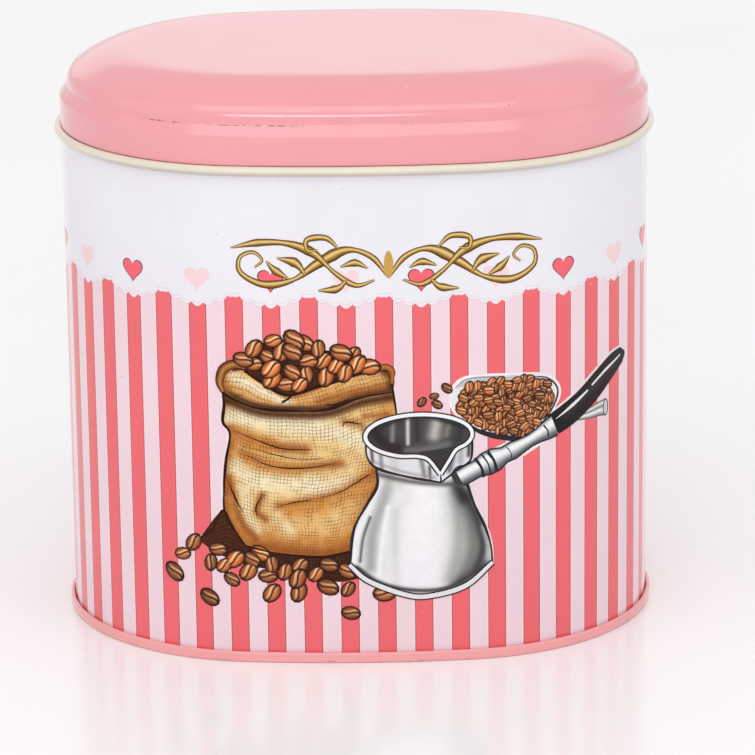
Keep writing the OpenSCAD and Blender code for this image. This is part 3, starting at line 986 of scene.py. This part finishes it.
mouth = oval(mouth_at, mouth_wide - 0.5, mouth_tall - 0.4, 72, 34)
mouth_strokes = [
    ([(4.6, 59), (7, 56), (11, 54.4)], 2, (36, 38, 40), 0.9),
    ([(8.8, 61.5), (8.6, 57)], 0.6, (150, 152, 154), 0.8),
    ([(12.4, 62.2), (12.4, 56)], 0.45, (236, 237, 238), 0.95),
    ([(14.6, 62), (14.8, 57)], 0.6, (46, 48, 50), 0.8),
    ([(19.4, 61), (18.8, 58)], 1.7, (204, 200, 190), 0.9),
    ([(22.4, 60.6), (21.8, 58)], 0.8, (140, 132, 122), 0.8),
    ([(25.4, 60), (24.6, 56.6)], 1, (52, 54, 56), 0.8),
    ([(12, 54.4), (17, 54.6), (22, 55.6)], 0.9, (120, 123, 126), 0.75),
    ([(4, 60), (15, 63), (26, 60)], 0.6, (40, 42, 44), 0.8)]
pot.painted(mouth, 0.102, (70, 72, 74), mouth_strokes)

spout = quilt([(20.3, 48.4), (20.6, 48.4)], [(15, 53.9), (20, 54.4), (24.6, 55.2)],
              [(20.3, 48.4), (17.6, 52.2), (15, 53.9)], [(20.6, 48.4), (22.6, 52.6), (24.6, 55.2)], 14,
              14)
pot.patch(spout, 0.112, (56, 57, 59))

# %% [markdown]
# ## The pot's lip, pen lines and ferrule
#
# The bright lip round the mouth is a white stroke between two dark ones, printed widest first.
# The ferrule is a turned steel collar that joins the handle to the pot, with dark rings on it.

# %% Draw the lip, the lines and the ferrule
lip_line = loop_line(mouth_at, mouth_wide, mouth_tall, -46, 250)
lip = [(20.3, 48), (22.4, 51.4), *lip_line, (14.6, 52.8), (17.4, 51.8), (20.2, 48)]
pot.line(lip, [1.5, 1.5, 1.6, 1.5], 0.122, line_black, step=0.35)
pot.line(lip, [0.7, 0.9, 0.9, 0.7], 0.134, (247, 247, 249), step=0.35)
pot.line(pot_foot, [1.7, 1.9, 1.8, 1.9, 1.7], 0.122, line_black)
pot.line(pot_foot, [0.9, 1.2, 1.1, 1.2, 0.9], 0.134, (232, 233, 236))
pot_lines = [
    (pot_left, [0.6, 0.8, 0.5, 0.9, 0.6]), (pot_right, [0.5, 0.4, 0.8, 0.5, 0.9]),
    ([(2.3, 58), (2.4, 53.2), (4.8, 50), (11.6, 47.8), (18, 46.4), (20.4, 45.9)],
    [0.5, 0.4, 0.8, 0.5, 0.7, 0.4]),
    ([(20.4, 45.9), (22.6, 47.6), (24.6, 49.4)], [0.4, 0.5, 0.3]),
    ([(28.1, 58.4), (27.9, 52.2), (26.4, 50.2), (24.4, 49.2)], [0.5, 0.6, 0.5, 0.5]),
    ([(20.3, 48.2), (20.4, 46)], [0.2, 0.5])]
pot.lines(pot_lines, 0.124, 0.001, line_black, step=0.4)
pot.patch(oval((25.6, 47.6), 2.6, 2.6, 10, 10), 0.112, (60, 62, 64))
ferrule_widths = [3.9, 4.1, 4.0, 5.6, 5.6, 3.8, 4.2, 3.4, 2.9, 3.4, 4.6, 5.2]
pot.shaded_line(ferrule_line, [w + 0.7 for w in ferrule_widths], 0.118, [(36, 38, 40)] * 3, step=0.4)
ferrule_tones = [(130, 132, 136), (246, 247, 249), (250, 250, 252), (196, 198, 202), (120, 122, 126),
    (70, 72, 76)]
pot.shaded_line(ferrule_line, ferrule_widths, 0.13, ferrule_tones, step=0.4)
ferrule_places = evenly(smooth_line(ferrule_line), 101)
for place, width in ((20, 0.9), (27, 0.5), (33, 0.9), (50, 0.3), (90, 0.5)):
    middle = ferrule_places[place]
    tilt = np.array((-0.4, 0.92)) * (2.7 if place < 40 else 1.7)
    pot.line([middle - tilt, middle + (0.5, 0), middle + tilt], [width, width * 0.7, width], 0.142,
        (44, 46, 50), step=0.4)
pot.finish("coffee_pot_picture", steel_ink)

# %% [markdown]
# ## The handle
#
# The handle is black and sweeps up to the right, past the scoop. It could be one thick stroke, but
# its two edges don't bend alike, so a patch fills the space between them. Polished black shows
# only its gleams, so two white strokes do the rest.

# %% Draw the handle
handle = Print()
grip = quilt([(51, 55.4), (56.5, 57.7), (62.7, 61.3), (69.5, 65.9), (74.3, 68.8)], handle_top,
             [(51, 55.4), (49, 57.8), (47.5, 60.5)], [(74.3, 68.8), (75.4, 71), (73, 72.8)], 50, 14)
handle.painted(grip, 0.122, (34, 34, 34),
    [([(53, 60), (62, 65.4), (72, 70.4)], 1.1, (70, 70, 74), 0.6)])
gleams = [([(50, 59.4), (54.6, 61.8), (60, 64.8)], [0.15, 0.9, 0.5]),
          ([(61.4, 65.8), (66.5, 68.5), (73, 70.9)], [0.5, 0.75, 0.35])]
handle.lines(gleams, 0.134, 0, (240, 240, 242), step=0.6)
handle.finish("handle_picture", picture_ink)

# %% [markdown]
# ## Beans by the handful
#
# There are about a hundred and fifty beans in the picture: heaped in the sack, spilt round its
# foot and lying in the scoop. Geometry Nodes place them. The tree takes one bean, drops copies on
# chosen points, scatters more over any faces it is given, and turns and sizes each by a fixed
# seed. Each bean also gets a number for how dark it is roasted, and a layer, so that they overlap.

# %% Make one bean
bean_long, bean_wide, bean_thick = 1.0, 0.72, 0.012
ring_points, ring_sizes = 12, (0.55, 1.0)
bean_points, bean_spots = [(0, 0, bean_thick)], [(0, 0, 0)]
for size in ring_sizes:
    for k in range(ring_points):
        turn = 2 * math.pi * k / ring_points
        spot = (size * math.cos(turn), size * math.sin(turn), 0)
        bean_spots.append(spot)
        bean_points.append((spot[0] * bean_long, spot[1] * bean_wide, bean_thick * (1 - 0.7 * size)))
bean_points.append((0, 0, 0))
bean_spots.append((0, 0, 0))
bean_faces = []
last = len(bean_points) - 1
for k in range(ring_points):
    n = (k + 1) % ring_points
    bean_faces += [(0, 1 + k, 1 + n), (1 + k, 1 + ring_points + k, 1 + ring_points + n, 1 + n),
                   (last, 1 + ring_points + n, 1 + ring_points + k)]
bean = mesh_object("one_bean", np.array(bean_points) / MM, bean_faces, 180)
note(bean, "spot", "FLOAT_VECTOR", bean_spots)
print("one bean:", len(bean_faces), "faces")


# %% [markdown]
# ## The tree that places them
#
# Points come from two places: the mesh's own chosen points, and a scatter over its faces that
# keeps a least distance. Both are joined, lifted by a random layer, and given a bean each.

# %% Build the bean tree
def tree_node(tree, kind, *values, **settings):
    """Adds a geometry node, and fills its sockets in order."""
    made = tree.nodes.new(kind)
    for name, value in settings.items():
        setattr(made, name, value)
    for place, value in enumerate(values):
        join(tree, made.inputs[place], value)
    return made


def random_number(tree, low, high, seed):
    made = tree_node(tree, "FunctionNodeRandomValue", None, None, low, high)
    made.inputs["Seed"].default_value = seed
    return made.outputs[1]


def realised(tree, copies, name, value, finish):
    """The end of a tree: copies with one stored number each, made real, with their material."""
    named = tree_node(tree, "GeometryNodeStoreNamedAttribute", copies.outputs[0], None, name,
                      domain="INSTANCE")
    join(tree, named.inputs["Value"], value)
    real = tree_node(tree, "GeometryNodeRealizeInstances", named.outputs[0])
    return tree_node(tree, "GeometryNodeSetMaterial", real.outputs[0], None, finish).outputs[0]


def new_tree(name, inputs):
    """A geometry tree with named inputs after its geometry."""
    tree = bpy.data.node_groups.new(name, "GeometryNodeTree")
    tree.interface.new_socket("Geometry", in_out="INPUT", socket_type="NodeSocketGeometry")
    for label, kind in inputs.items():
        tree.interface.new_socket(label, in_out="INPUT", socket_type="NodeSocket" + kind)
    tree.interface.new_socket("Geometry", in_out="OUTPUT", socket_type="NodeSocketGeometry")
    return tree, tree.nodes.new("NodeGroupInput").outputs, tree.nodes.new("NodeGroupOutput").inputs[0]


pour, pour_in, pour_out = new_tree("pour_beans", {
    "Shape": "Object", "Finish": "Material", "Half Length": "Float", "Spacing": "Float",
    "Lightest": "Float", "Darkest": "Float"})
mark = tree_node(pour, "GeometryNodeInputNamedAttribute", "chosen", data_type="FLOAT").outputs[0]
marked = tree_node(pour, "FunctionNodeCompare", mark, 0.5, data_type="FLOAT", operation="GREATER_THAN")
chosen_points = tree_node(pour, "GeometryNodeMeshToPoints", pour_in["Geometry"], marked.outputs[0])
scatter = tree_node(
    pour, "GeometryNodeDistributePointsOnFaces", pour_in["Geometry"], distribute_method="POISSON")
join(pour, scatter.inputs["Distance Min"], pour_in["Spacing"])
scatter.inputs["Density Max"].default_value = 9.0
scatter.inputs["Seed"].default_value = 5
all_points = tree_node(pour, "GeometryNodeJoinGeometry")
join(pour, all_points.inputs[0], chosen_points.outputs[0])
join(pour, all_points.inputs[0], scatter.outputs[0])
raised = tree_node(pour, "GeometryNodeSetPosition", all_points.outputs[0])
layer = random_number(pour, 0.0, 0.06, 3)
join(pour, raised.inputs["Offset"],
    tree_node(pour, "ShaderNodeCombineXYZ", None, None, layer).outputs[0])
turn = random_number(pour, -0.9, 1.5, 7)
turned = tree_node(pour, "ShaderNodeCombineXYZ", None, None, turn).outputs[0]
uneven = random_number(pour, 0.85, 1.12, 9)
sized = tree_node(pour, "ShaderNodeMath", uneven, pour_in["Half Length"],
    operation="MULTIPLY").outputs[0]
bean_size = tree_node(pour, "ShaderNodeCombineXYZ", sized, sized, 1.0).outputs[0]
shape = tree_node(pour, "GeometryNodeObjectInfo", pour_in["Shape"]).outputs["Geometry"]
copies = tree_node(pour, "GeometryNodeInstanceOnPoints", raised.outputs[0], None, shape)
join(pour, copies.inputs["Rotation"], turned)
join(pour, copies.inputs["Scale"], bean_size)
roast = random_number(pour, pour_in["Lightest"], pour_in["Darkest"], 11)
join(pour, pour_out, realised(pour, copies, "roast", roast, pour_in["Finish"]))
print("pour_beans:", len(pour.nodes), "nodes")


def grown(name, tree, points, faces, notes, settings, lift):
    """Runs a tree on flat points, bakes the result into a plain mesh, and rolls it onto the wall."""
    mesh = bpy.data.meshes.new(name)
    mesh.from_pydata([tuple(p) for p in points], [], faces)
    source = bpy.data.objects.new(name + "_source", mesh)
    bpy.context.collection.objects.link(source)
    for label, values in notes.items():
        note(source, label, "FLOAT", values)
    modifier = source.modifiers.new("grow", "NODES")
    modifier.node_group = tree
    for item in tree.interface.items_tree:
        if item.name in settings:
            modifier[item.identifier] = settings[item.name]
    bpy.context.view_layer.update()
    seen = source.evaluated_get(bpy.context.evaluated_depsgraph_get())
    baked = bpy.data.meshes.new_from_object(seen)
    source.modifiers.remove(modifier)
    bpy.data.objects.remove(source)
    places = np.array([v.co for v in baked.vertices])
    places = rolled(places + (0, 0, lift)) * MM
    baked.vertices.foreach_set("co", places.astype(np.float32).ravel())
    baked.update()
    made = bpy.data.objects.new(name, baked)
    bpy.context.collection.objects.link(made)
    baked.shade_smooth()
    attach(made, "tin")
    print(f"{name}: {len(baked.polygons)} faces")


# %% [markdown]
# ## Roasted beans
#
# A bean is drawn with a dark edge, an orange-brown body, a dark crease that wanders down its
# middle, and a cream gleam on each side of the crease. All of that is worked out from `spot`, the
# place on the one bean, and shifted by the roast that the tree stored, so no two look the same.

# %% Finish the beans
bean_ink, tree, surface = blank_finish("bean_ink")
spot = add(tree, "Attribute", attribute_name="spot").outputs["Vector"]
across = add(tree, "SeparateXYZ", spot).outputs
roasted = noted(tree, "roast")[0]
edge = add(tree, "VectorMath", spot, operation="LENGTH").outputs["Value"]
wave = calc(tree, "MULTIPLY", calc(tree, "SINE", calc(tree, "MULTIPLY", across[0], 2.9)), 0.2)
beside = calc(tree, "SUBTRACT", across[1], wave)
from_crease = calc(tree, "ABSOLUTE", beside)
body = mix(tree, roasted, ink(240, 132, 58), ink(122, 68, 36))
rim = mix(tree, roasted, ink(150, 70, 26), ink(66, 34, 20))
shaded = mix(tree, between(tree, edge, 0.35, 0.95), body, rim)
from_gleam = calc(tree, "ABSOLUTE", calc(tree, "SUBTRACT", from_crease, 0.3))
gleam = calc(tree, "SUBTRACT", 1.0, between(tree, from_gleam, 0.05, 0.2))
upper = between(tree, calc(tree, "MULTIPLY_ADD", across[0], 0.5, beside), -0.35, 0.45, 0.12, 1.0)
inside = between(tree, edge, 0.6, 0.85, 1.0, 0.0)
gleaming = calc(tree, "MULTIPLY", calc(tree, "MULTIPLY", gleam, upper), inside)
lit = mix(tree, gleaming, shaded, mix(tree, roasted, ink(255, 226, 176), ink(206, 156, 108)))
creased = mix(tree, between(tree, from_crease, 0.05, 0.13, 1.0, 0.0), lit, ink(58, 26, 12))
outlined = mix(tree, between(tree, edge, 0.8, 0.9), creased, ink(48, 22, 12))
join(tree, surface.inputs["Base Color"], outlined)
mottle = add(tree, "TexNoise", millimetres(tree), None, 1.4, 3.0).outputs[0]
join(tree, surface.inputs["Roughness"], between(tree, mottle, 0.3, 0.7, 0.24, 0.36))
surface.inputs["Specular IOR Level"].default_value = 0.25

# %% [markdown]
# ## Where the beans lie
#
# The heap, the spill and the four loose beans are placed one by one, because their outline is
# part of the drawing. In the scoop nobody could tell one bean from another, so the tree scatters
# those over the scoop's bed.

# %% Pour the beans
heap_beans = [(-24.6, 80.2), (-19.9, 82.3), (-14.8, 82.6), (-15.3, 79.5), (-9, 80.3), (-21.2, 78.2),
    (-24.8, 76.4), (-20.5, 75.2),
              (-15.4, 74.5), (-12, 73.7), (-11.5, 77.3), (-7.9, 77.3), (-4.8, 76), (-3.5, 79.3),
              (-0.6, 78.8), (0.3, 76.3), (-7.2, 73.4),
              (-17, 71.3), (-20.3, 72.6), (-27.2, 77.4), (3.2, 75.7), (-17.8, 79.6), (-12.3, 81.8),
              (-2.6, 74.2), (-13.6, 71.2)]
spilt_beans = [(-40.8, 30), (-43.8, 26.7), (-46.2, 21.7), (-36.9, 16.1), (-36.4, 25.2), (-31.2, 21.1),
    (-34.5, 28.7), (-30.3, 26.4),
               (-26.1, 26.4), (-21.2, 25.2), (-22.2, 22.2), (-14.3, 25), (-10.4, 22.8), (-7.5, 19.5),
               (-2.6, 18.9), (-21.3, 17.8),
               (-14.7, 18.1), (-2, 12.7), (-27, 23.3), (-7.2, 25.2), (6.2, 17.6), (-14.9, 21.6),
               (-2.8, 23.6), (-18, 23.4), (-33, 24.6), (-24, 28)]
loose_beans = [(15.9, 66.5), (18.9, 67.9), (22, 69.8), (19.6, 65.8)]


def pour_on(name, points, half_long, spacing, lightest, darkest, lift, bed_shape=None):
    """Beans on chosen points, and scattered over a bed if there is one."""
    verts = [(x, z, 0) for x, z in points]
    marks = [1.0] * len(verts)
    faces = []
    if bed_shape is not None:
        rows, columns = bed_shape.shape[:2]
        start = len(verts)
        verts += [(x, z, 0) for x, z in bed_shape.reshape(-1, 2)]
        marks += [0.0] * (rows * columns)
        seat = np.arange(rows * columns).reshape(rows, columns) + start
        faces = np.stack([seat[:-1, :-1], seat[:-1, 1:], seat[1:, 1:], seat[1:, :-1]], 2).reshape(-1,
            4).tolist()
    settings = {"Shape": bean, "Finish": bean_ink, "Half Length": half_long, "Spacing": spacing,
                "Lightest": lightest, "Darkest": darkest}
    grown(name, pour, verts, faces, {"chosen": marks}, settings, lift)


pour_on("beans_in_sack", heap_beans, 2.85, 1.9, -0.1, 0.7, 0.06)
pour_on("beans_spilt", spilt_beans, 2.75, 2, 0.15, 1.0, 0.03)
pour_on("beans_loose", loose_beans, 1.5, 2, 0.8, 1.2, 0.03)
pour_on("beans_in_scoop", [], 1.6, 1.5, 0.3, 0.95, 0.036, bed)
bpy.data.objects.remove(bean)

# %% [markdown]
# ## A row of hearts
#
# Hearts run round the tin above the lace, one over every second red stripe, red and pale by turns.
# They repeat along a line, so a tree makes the row: it lays out points, puts a heart on each, and
# stores which are red. The row stops short of the bare strip at the back.

# %% Make one heart
heart_points, heart_spots, heart_faces = [(0, 0, film), (0, 0, 0)], [(0, 0, 0), (0, 0, 0)], []
heart_sides, heart_rings, heart_scale = 26, (0.5, 0.86, 1.0), 0.82
for size in (*heart_rings, 1.0):
    level = 0.0 if len(heart_points) > 2 + 2.5 * heart_sides else film
    for k in range(heart_sides):
        t = 2 * math.pi * (k + 0.5) / heart_sides
        x = 4.0 * math.sin(t) ** 3
        z = 3.25 * math.cos(t) - 1.25 * math.cos(2 * t) - 0.5 * math.cos(3 * t) - 0.25 * math.cos(4 * t)
        heart_points.append((x * size * heart_scale, z * size * heart_scale, level))
        heart_spots.append((size, 0, 0))
for k in range(heart_sides):
    n = (k + 1) % heart_sides
    heart_faces += [(0, 2 + n, 2 + k), (1, 2 + 3 * heart_sides + k, 2 + 3 * heart_sides + n)]
    for ring in range(3):
        a, b = 2 + ring * heart_sides, 2 + (ring + 1) * heart_sides
        heart_faces.append((a + k, a + n, b + n, b + k))
heart = mesh_object("one_heart", np.array(heart_points) / MM, heart_faces)
note(heart, "spot", "FLOAT_VECTOR", heart_spots)

# %% Lay the row of hearts
string, string_in, string_out = new_tree("string_of_hearts", {
    "Shape": "Object", "Finish": "Material", "Count": "Int", "First": "Vector", "Step": "Vector"})
row = tree_node(string, "GeometryNodeMeshLine", string_in["Count"])
join(string, row.inputs["Start Location"], string_in["First"])
join(string, row.inputs["Offset"], string_in["Step"])
shape = tree_node(string, "GeometryNodeObjectInfo", string_in["Shape"]).outputs["Geometry"]
hung = tree_node(string, "GeometryNodeInstanceOnPoints", row.outputs[0], None, shape)
place_in_row = tree_node(string, "GeometryNodeInputIndex").outputs[0]
by_turns = tree_node(string, "ShaderNodeMath", place_in_row, 2.0, operation="MODULO").outputs[0]
join(string, string_out, realised(string, hung, "red_turn", by_turns, string_in["Finish"]))

heart_ink, tree, surface = blank_finish("heart_ink")
spot = add(tree, "Attribute", attribute_name="spot").outputs["Vector"]
rim = add(tree, "SeparateXYZ", spot).outputs[0]
is_red = noted(tree, "red_turn")[0]
fill = mix(tree, is_red, ink(248, 214, 220), ink(246, 92, 108))
line = mix(tree, is_red, ink(248, 214, 220), ink(112, 52, 60))
coat = add(tree, "Group", node_tree=skin)
join(tree, coat.inputs["Color"], mix(tree, calc(tree, "GREATER_THAN", rim, 0.9), fill, line))
join(tree, surface.inputs["Base Color"], coat.outputs["Color"])
join(tree, surface.inputs["Roughness"], coat.outputs["Roughness"])
surface.inputs["Coat Weight"].default_value = 0.3

heart_count = 22
first_heart = heart_at - (heart_count // 2 - 1) * heart_gap
row_settings = {"Shape": heart, "Finish": heart_ink, "Count": heart_count,
                "First": (first_heart, 97.6, 0), "Step": (heart_gap, 0, 0)}
grown("heart_row", string, [(0, 0, 0)], [], {}, row_settings, 0.004)
bpy.data.objects.remove(heart)

# %% [markdown]
# ## A gold flourish
#
# Above the hearts is a gold ornament, the kind a sign painter pulls in one breath: long S-curves
# that end in curls, mirrored about the middle, with leaf strokes between. A pen presses on the
# way down and lifts on the way up, so each stroke carries its own list of widths. Six colours
# across a stroke, dark at the edges and nearly white inside, make it look like raised foil.

# %% Pull the flourish
gold_tones = [(66, 46, 14), (150, 108, 40), (240, 218, 152), (196, 152, 70), (122, 84, 30),
    (58, 38, 12)]
middle = 8.2
strokes = [
    ([(0, 98), (4, 103.2), (10, 105), (17, 101.6), (23, 97.6), (30, 96.4), (35.6, 99.2), (35.8, 103),
    (32.6, 104.4), (30.4, 102.4), (32.2, 100.6)],
     [0.3, 1.0, 0.8, 2.0, 1.5, 0.7, 1.4, 1.0, 0.7, 0.6, 0.3]),
    ([(3.4, 97.4), (8, 96.2), (13, 99.4), (18, 104.2), (24, 106.6), (31, 106.8), (38, 105.4)],
    [0.3, 1.0, 0.6, 1.7, 0.9, 1.3, 0.2]),
    ([(12, 105.4), (15, 108), (19.4, 107.6), (19.4, 105), (17, 105)], [0.3, 0.9, 1.1, 0.7, 0.3]),
    ([(20, 98.8), (22.4, 101.8), (26.8, 103)], [0.2, 1.7, 0.2]),
    ([(24, 97.8), (27.4, 100), (29.4, 102.2)], [0.2, 1.4, 0.2]),
    ([(10, 97.6), (12.4, 95.4), (17, 94.9)], [0.2, 1.4, 0.2]),
    ([(5, 100.4), (8, 101.8), (11.6, 100.8)], [0.2, 1.3, 0.2])]
gold = Print()
for level, (points, widths) in enumerate(strokes):
    for side in (-1, 1):
        placed = [(middle + side * x, z) for x, z in points]
        lift = 0.022 + 0.003 * (2 * level + (side > 0))
        plump = [w * 1.45 + 0.1 for w in widths]
        gold.shaded_line(placed, plump, lift, gold_tones[::side], step=0.4)
gold.patch(oval((middle, 101.2), 1.1, 3.4, 9, 17), 0.07, (206, 164, 84))
gold.finish("gold_flourish", gold_foil)

# %% [markdown]
# ## Floor, lights and camera
#
# The tin stands on a pale glossy floor in a soft white tent. A tent could be modelled, but a
# white world with a few large soft lamps gives the same long, gentle highlights. The floor has a
# faint painted glow far from the tin, which stands in for the light on paper where it sweeps up
# into the tent's wall.

# %% Build the stage
def pale(name, colour, rough):
    made, tree, surface = blank_finish(name)
    cloud = add(tree, "TexNoise", millimetres(tree), None, 0.01, 3.0).outputs[0]
    join(tree, surface.inputs["Base Color"], mix(tree, cloud, colour, ink(252, 252, 253)))
    join(tree, surface.inputs["Roughness"], between(tree, cloud, 0.2, 0.8, rough - 0.02, rough + 0.02))
    # painted light: emission that grows with distance from the tin, standing in for lit paper sweeping
    # up into the tent's wall
    from_tin = add(tree, "VectorMath", millimetres(tree), operation="LENGTH").outputs["Value"]
    far = between(tree, from_tin, 150.0, 900.0)
    painted_glow = mix(tree, far, (0.02, 0.02, 0.02, 1), (0.15, 0.15, 0.15, 1))
    join(tree, surface.inputs["Emission Color"], painted_glow)
    surface.inputs["Emission Strength"].default_value = 1.0
    return made


floor_half, floor_drop = 4000.0, 0.02
corners = [(x * floor_half, y * floor_half, -floor_drop) for x,
    y in ((-1, -1), (1, -1), (1, 1), (-1, 1))]
table = mesh_object("studio_floor", corners, [(0, 1, 2, 3)])
table.data.materials.append(pale("studio_paper", ink(247, 247, 248), 0.16))

world = bpy.data.worlds.new("white_tent")
world.use_nodes = True
world.node_tree.nodes["Background"].inputs["Color"].default_value = (1.0, 0.99, 0.985, 1)
world.node_tree.nodes["Background"].inputs["Strength"].default_value = 0.74
bpy.context.scene.world = world
bpy.context.scene.view_settings.view_transform = "Standard"


def soft_lamp(name, place, wide, tall, power):
    """A large panel lamp that faces the tin and isn't seen itself. Sizes in mm."""
    light = bpy.data.lights.new(name, "AREA")
    light.shape = "RECTANGLE"
    light.size, light.size_y = wide * MM, tall * MM
    light.energy = power
    made = bpy.data.objects.new(name, light)
    made.location = Vector(place) * MM
    made.rotation_euler = (Vector((0, 0, 100)) * MM - made.location).to_track_quat("-Z", "Y").to_euler()
    made.visible_camera = False
    bpy.context.collection.objects.link(made)


soft_lamp("overhead_panel", (0, -420, 820), 1000, 420, 1.6)
soft_lamp("left_panel", (-900, -300, 420), 800, 800, 0.6)
soft_lamp("right_panel", (900, -300, 420), 800, 800, 0.6)
soft_lamp("front_strip", (-140, -1150, 560), 600, 110, 1.9)
soft_lamp("back_panel", (0, 1500, 560), 2000, 620, 1.3)

# %% [markdown]
# ## The camera
#
# A long lens keeps the tin's upright edges nearly parallel. The camera stands a little over one
# metre away and looks seventeen degrees down, as it would for a shop page. It could be aimed with
# a constraint, but here its three axes are worked out from two angles and a slight roll.

# %% Place the camera
pitch, yaw, roll = 0.2941, -0.0038, 0.0121
far_away, aim_height, slide_right, slide_up = 1151.75, 70.0, 5.02, -12.2
ahead = Vector((math.sin(yaw) * math.cos(pitch), math.cos(yaw) * math.cos(pitch), -math.sin(pitch)))
level = Vector((math.cos(yaw), -math.sin(yaw), 0))
upward = Vector((math.sin(yaw) * math.sin(pitch), math.cos(yaw) * math.sin(pitch), math.cos(pitch)))
eye = Vector((0, 0, aim_height)) + slide_right * level + slide_up * upward - far_away * ahead
across = math.cos(roll) * level - math.sin(roll) * upward
over = math.sin(roll) * level + math.cos(roll) * upward
lens = bpy.data.cameras.new("shop_camera")
lens.sensor_width = 36.0
lens.lens = 217.32
camera = bpy.data.objects.new("shop_camera", lens)
turned = Matrix((across, over, -ahead)).transposed().to_4x4()
camera.matrix_world = Matrix.Translation(eye * MM) @ turned
bpy.context.collection.objects.link(camera)
bpy.context.scene.camera = camera
print("camera at", [round(v) for v in eye], "mm")
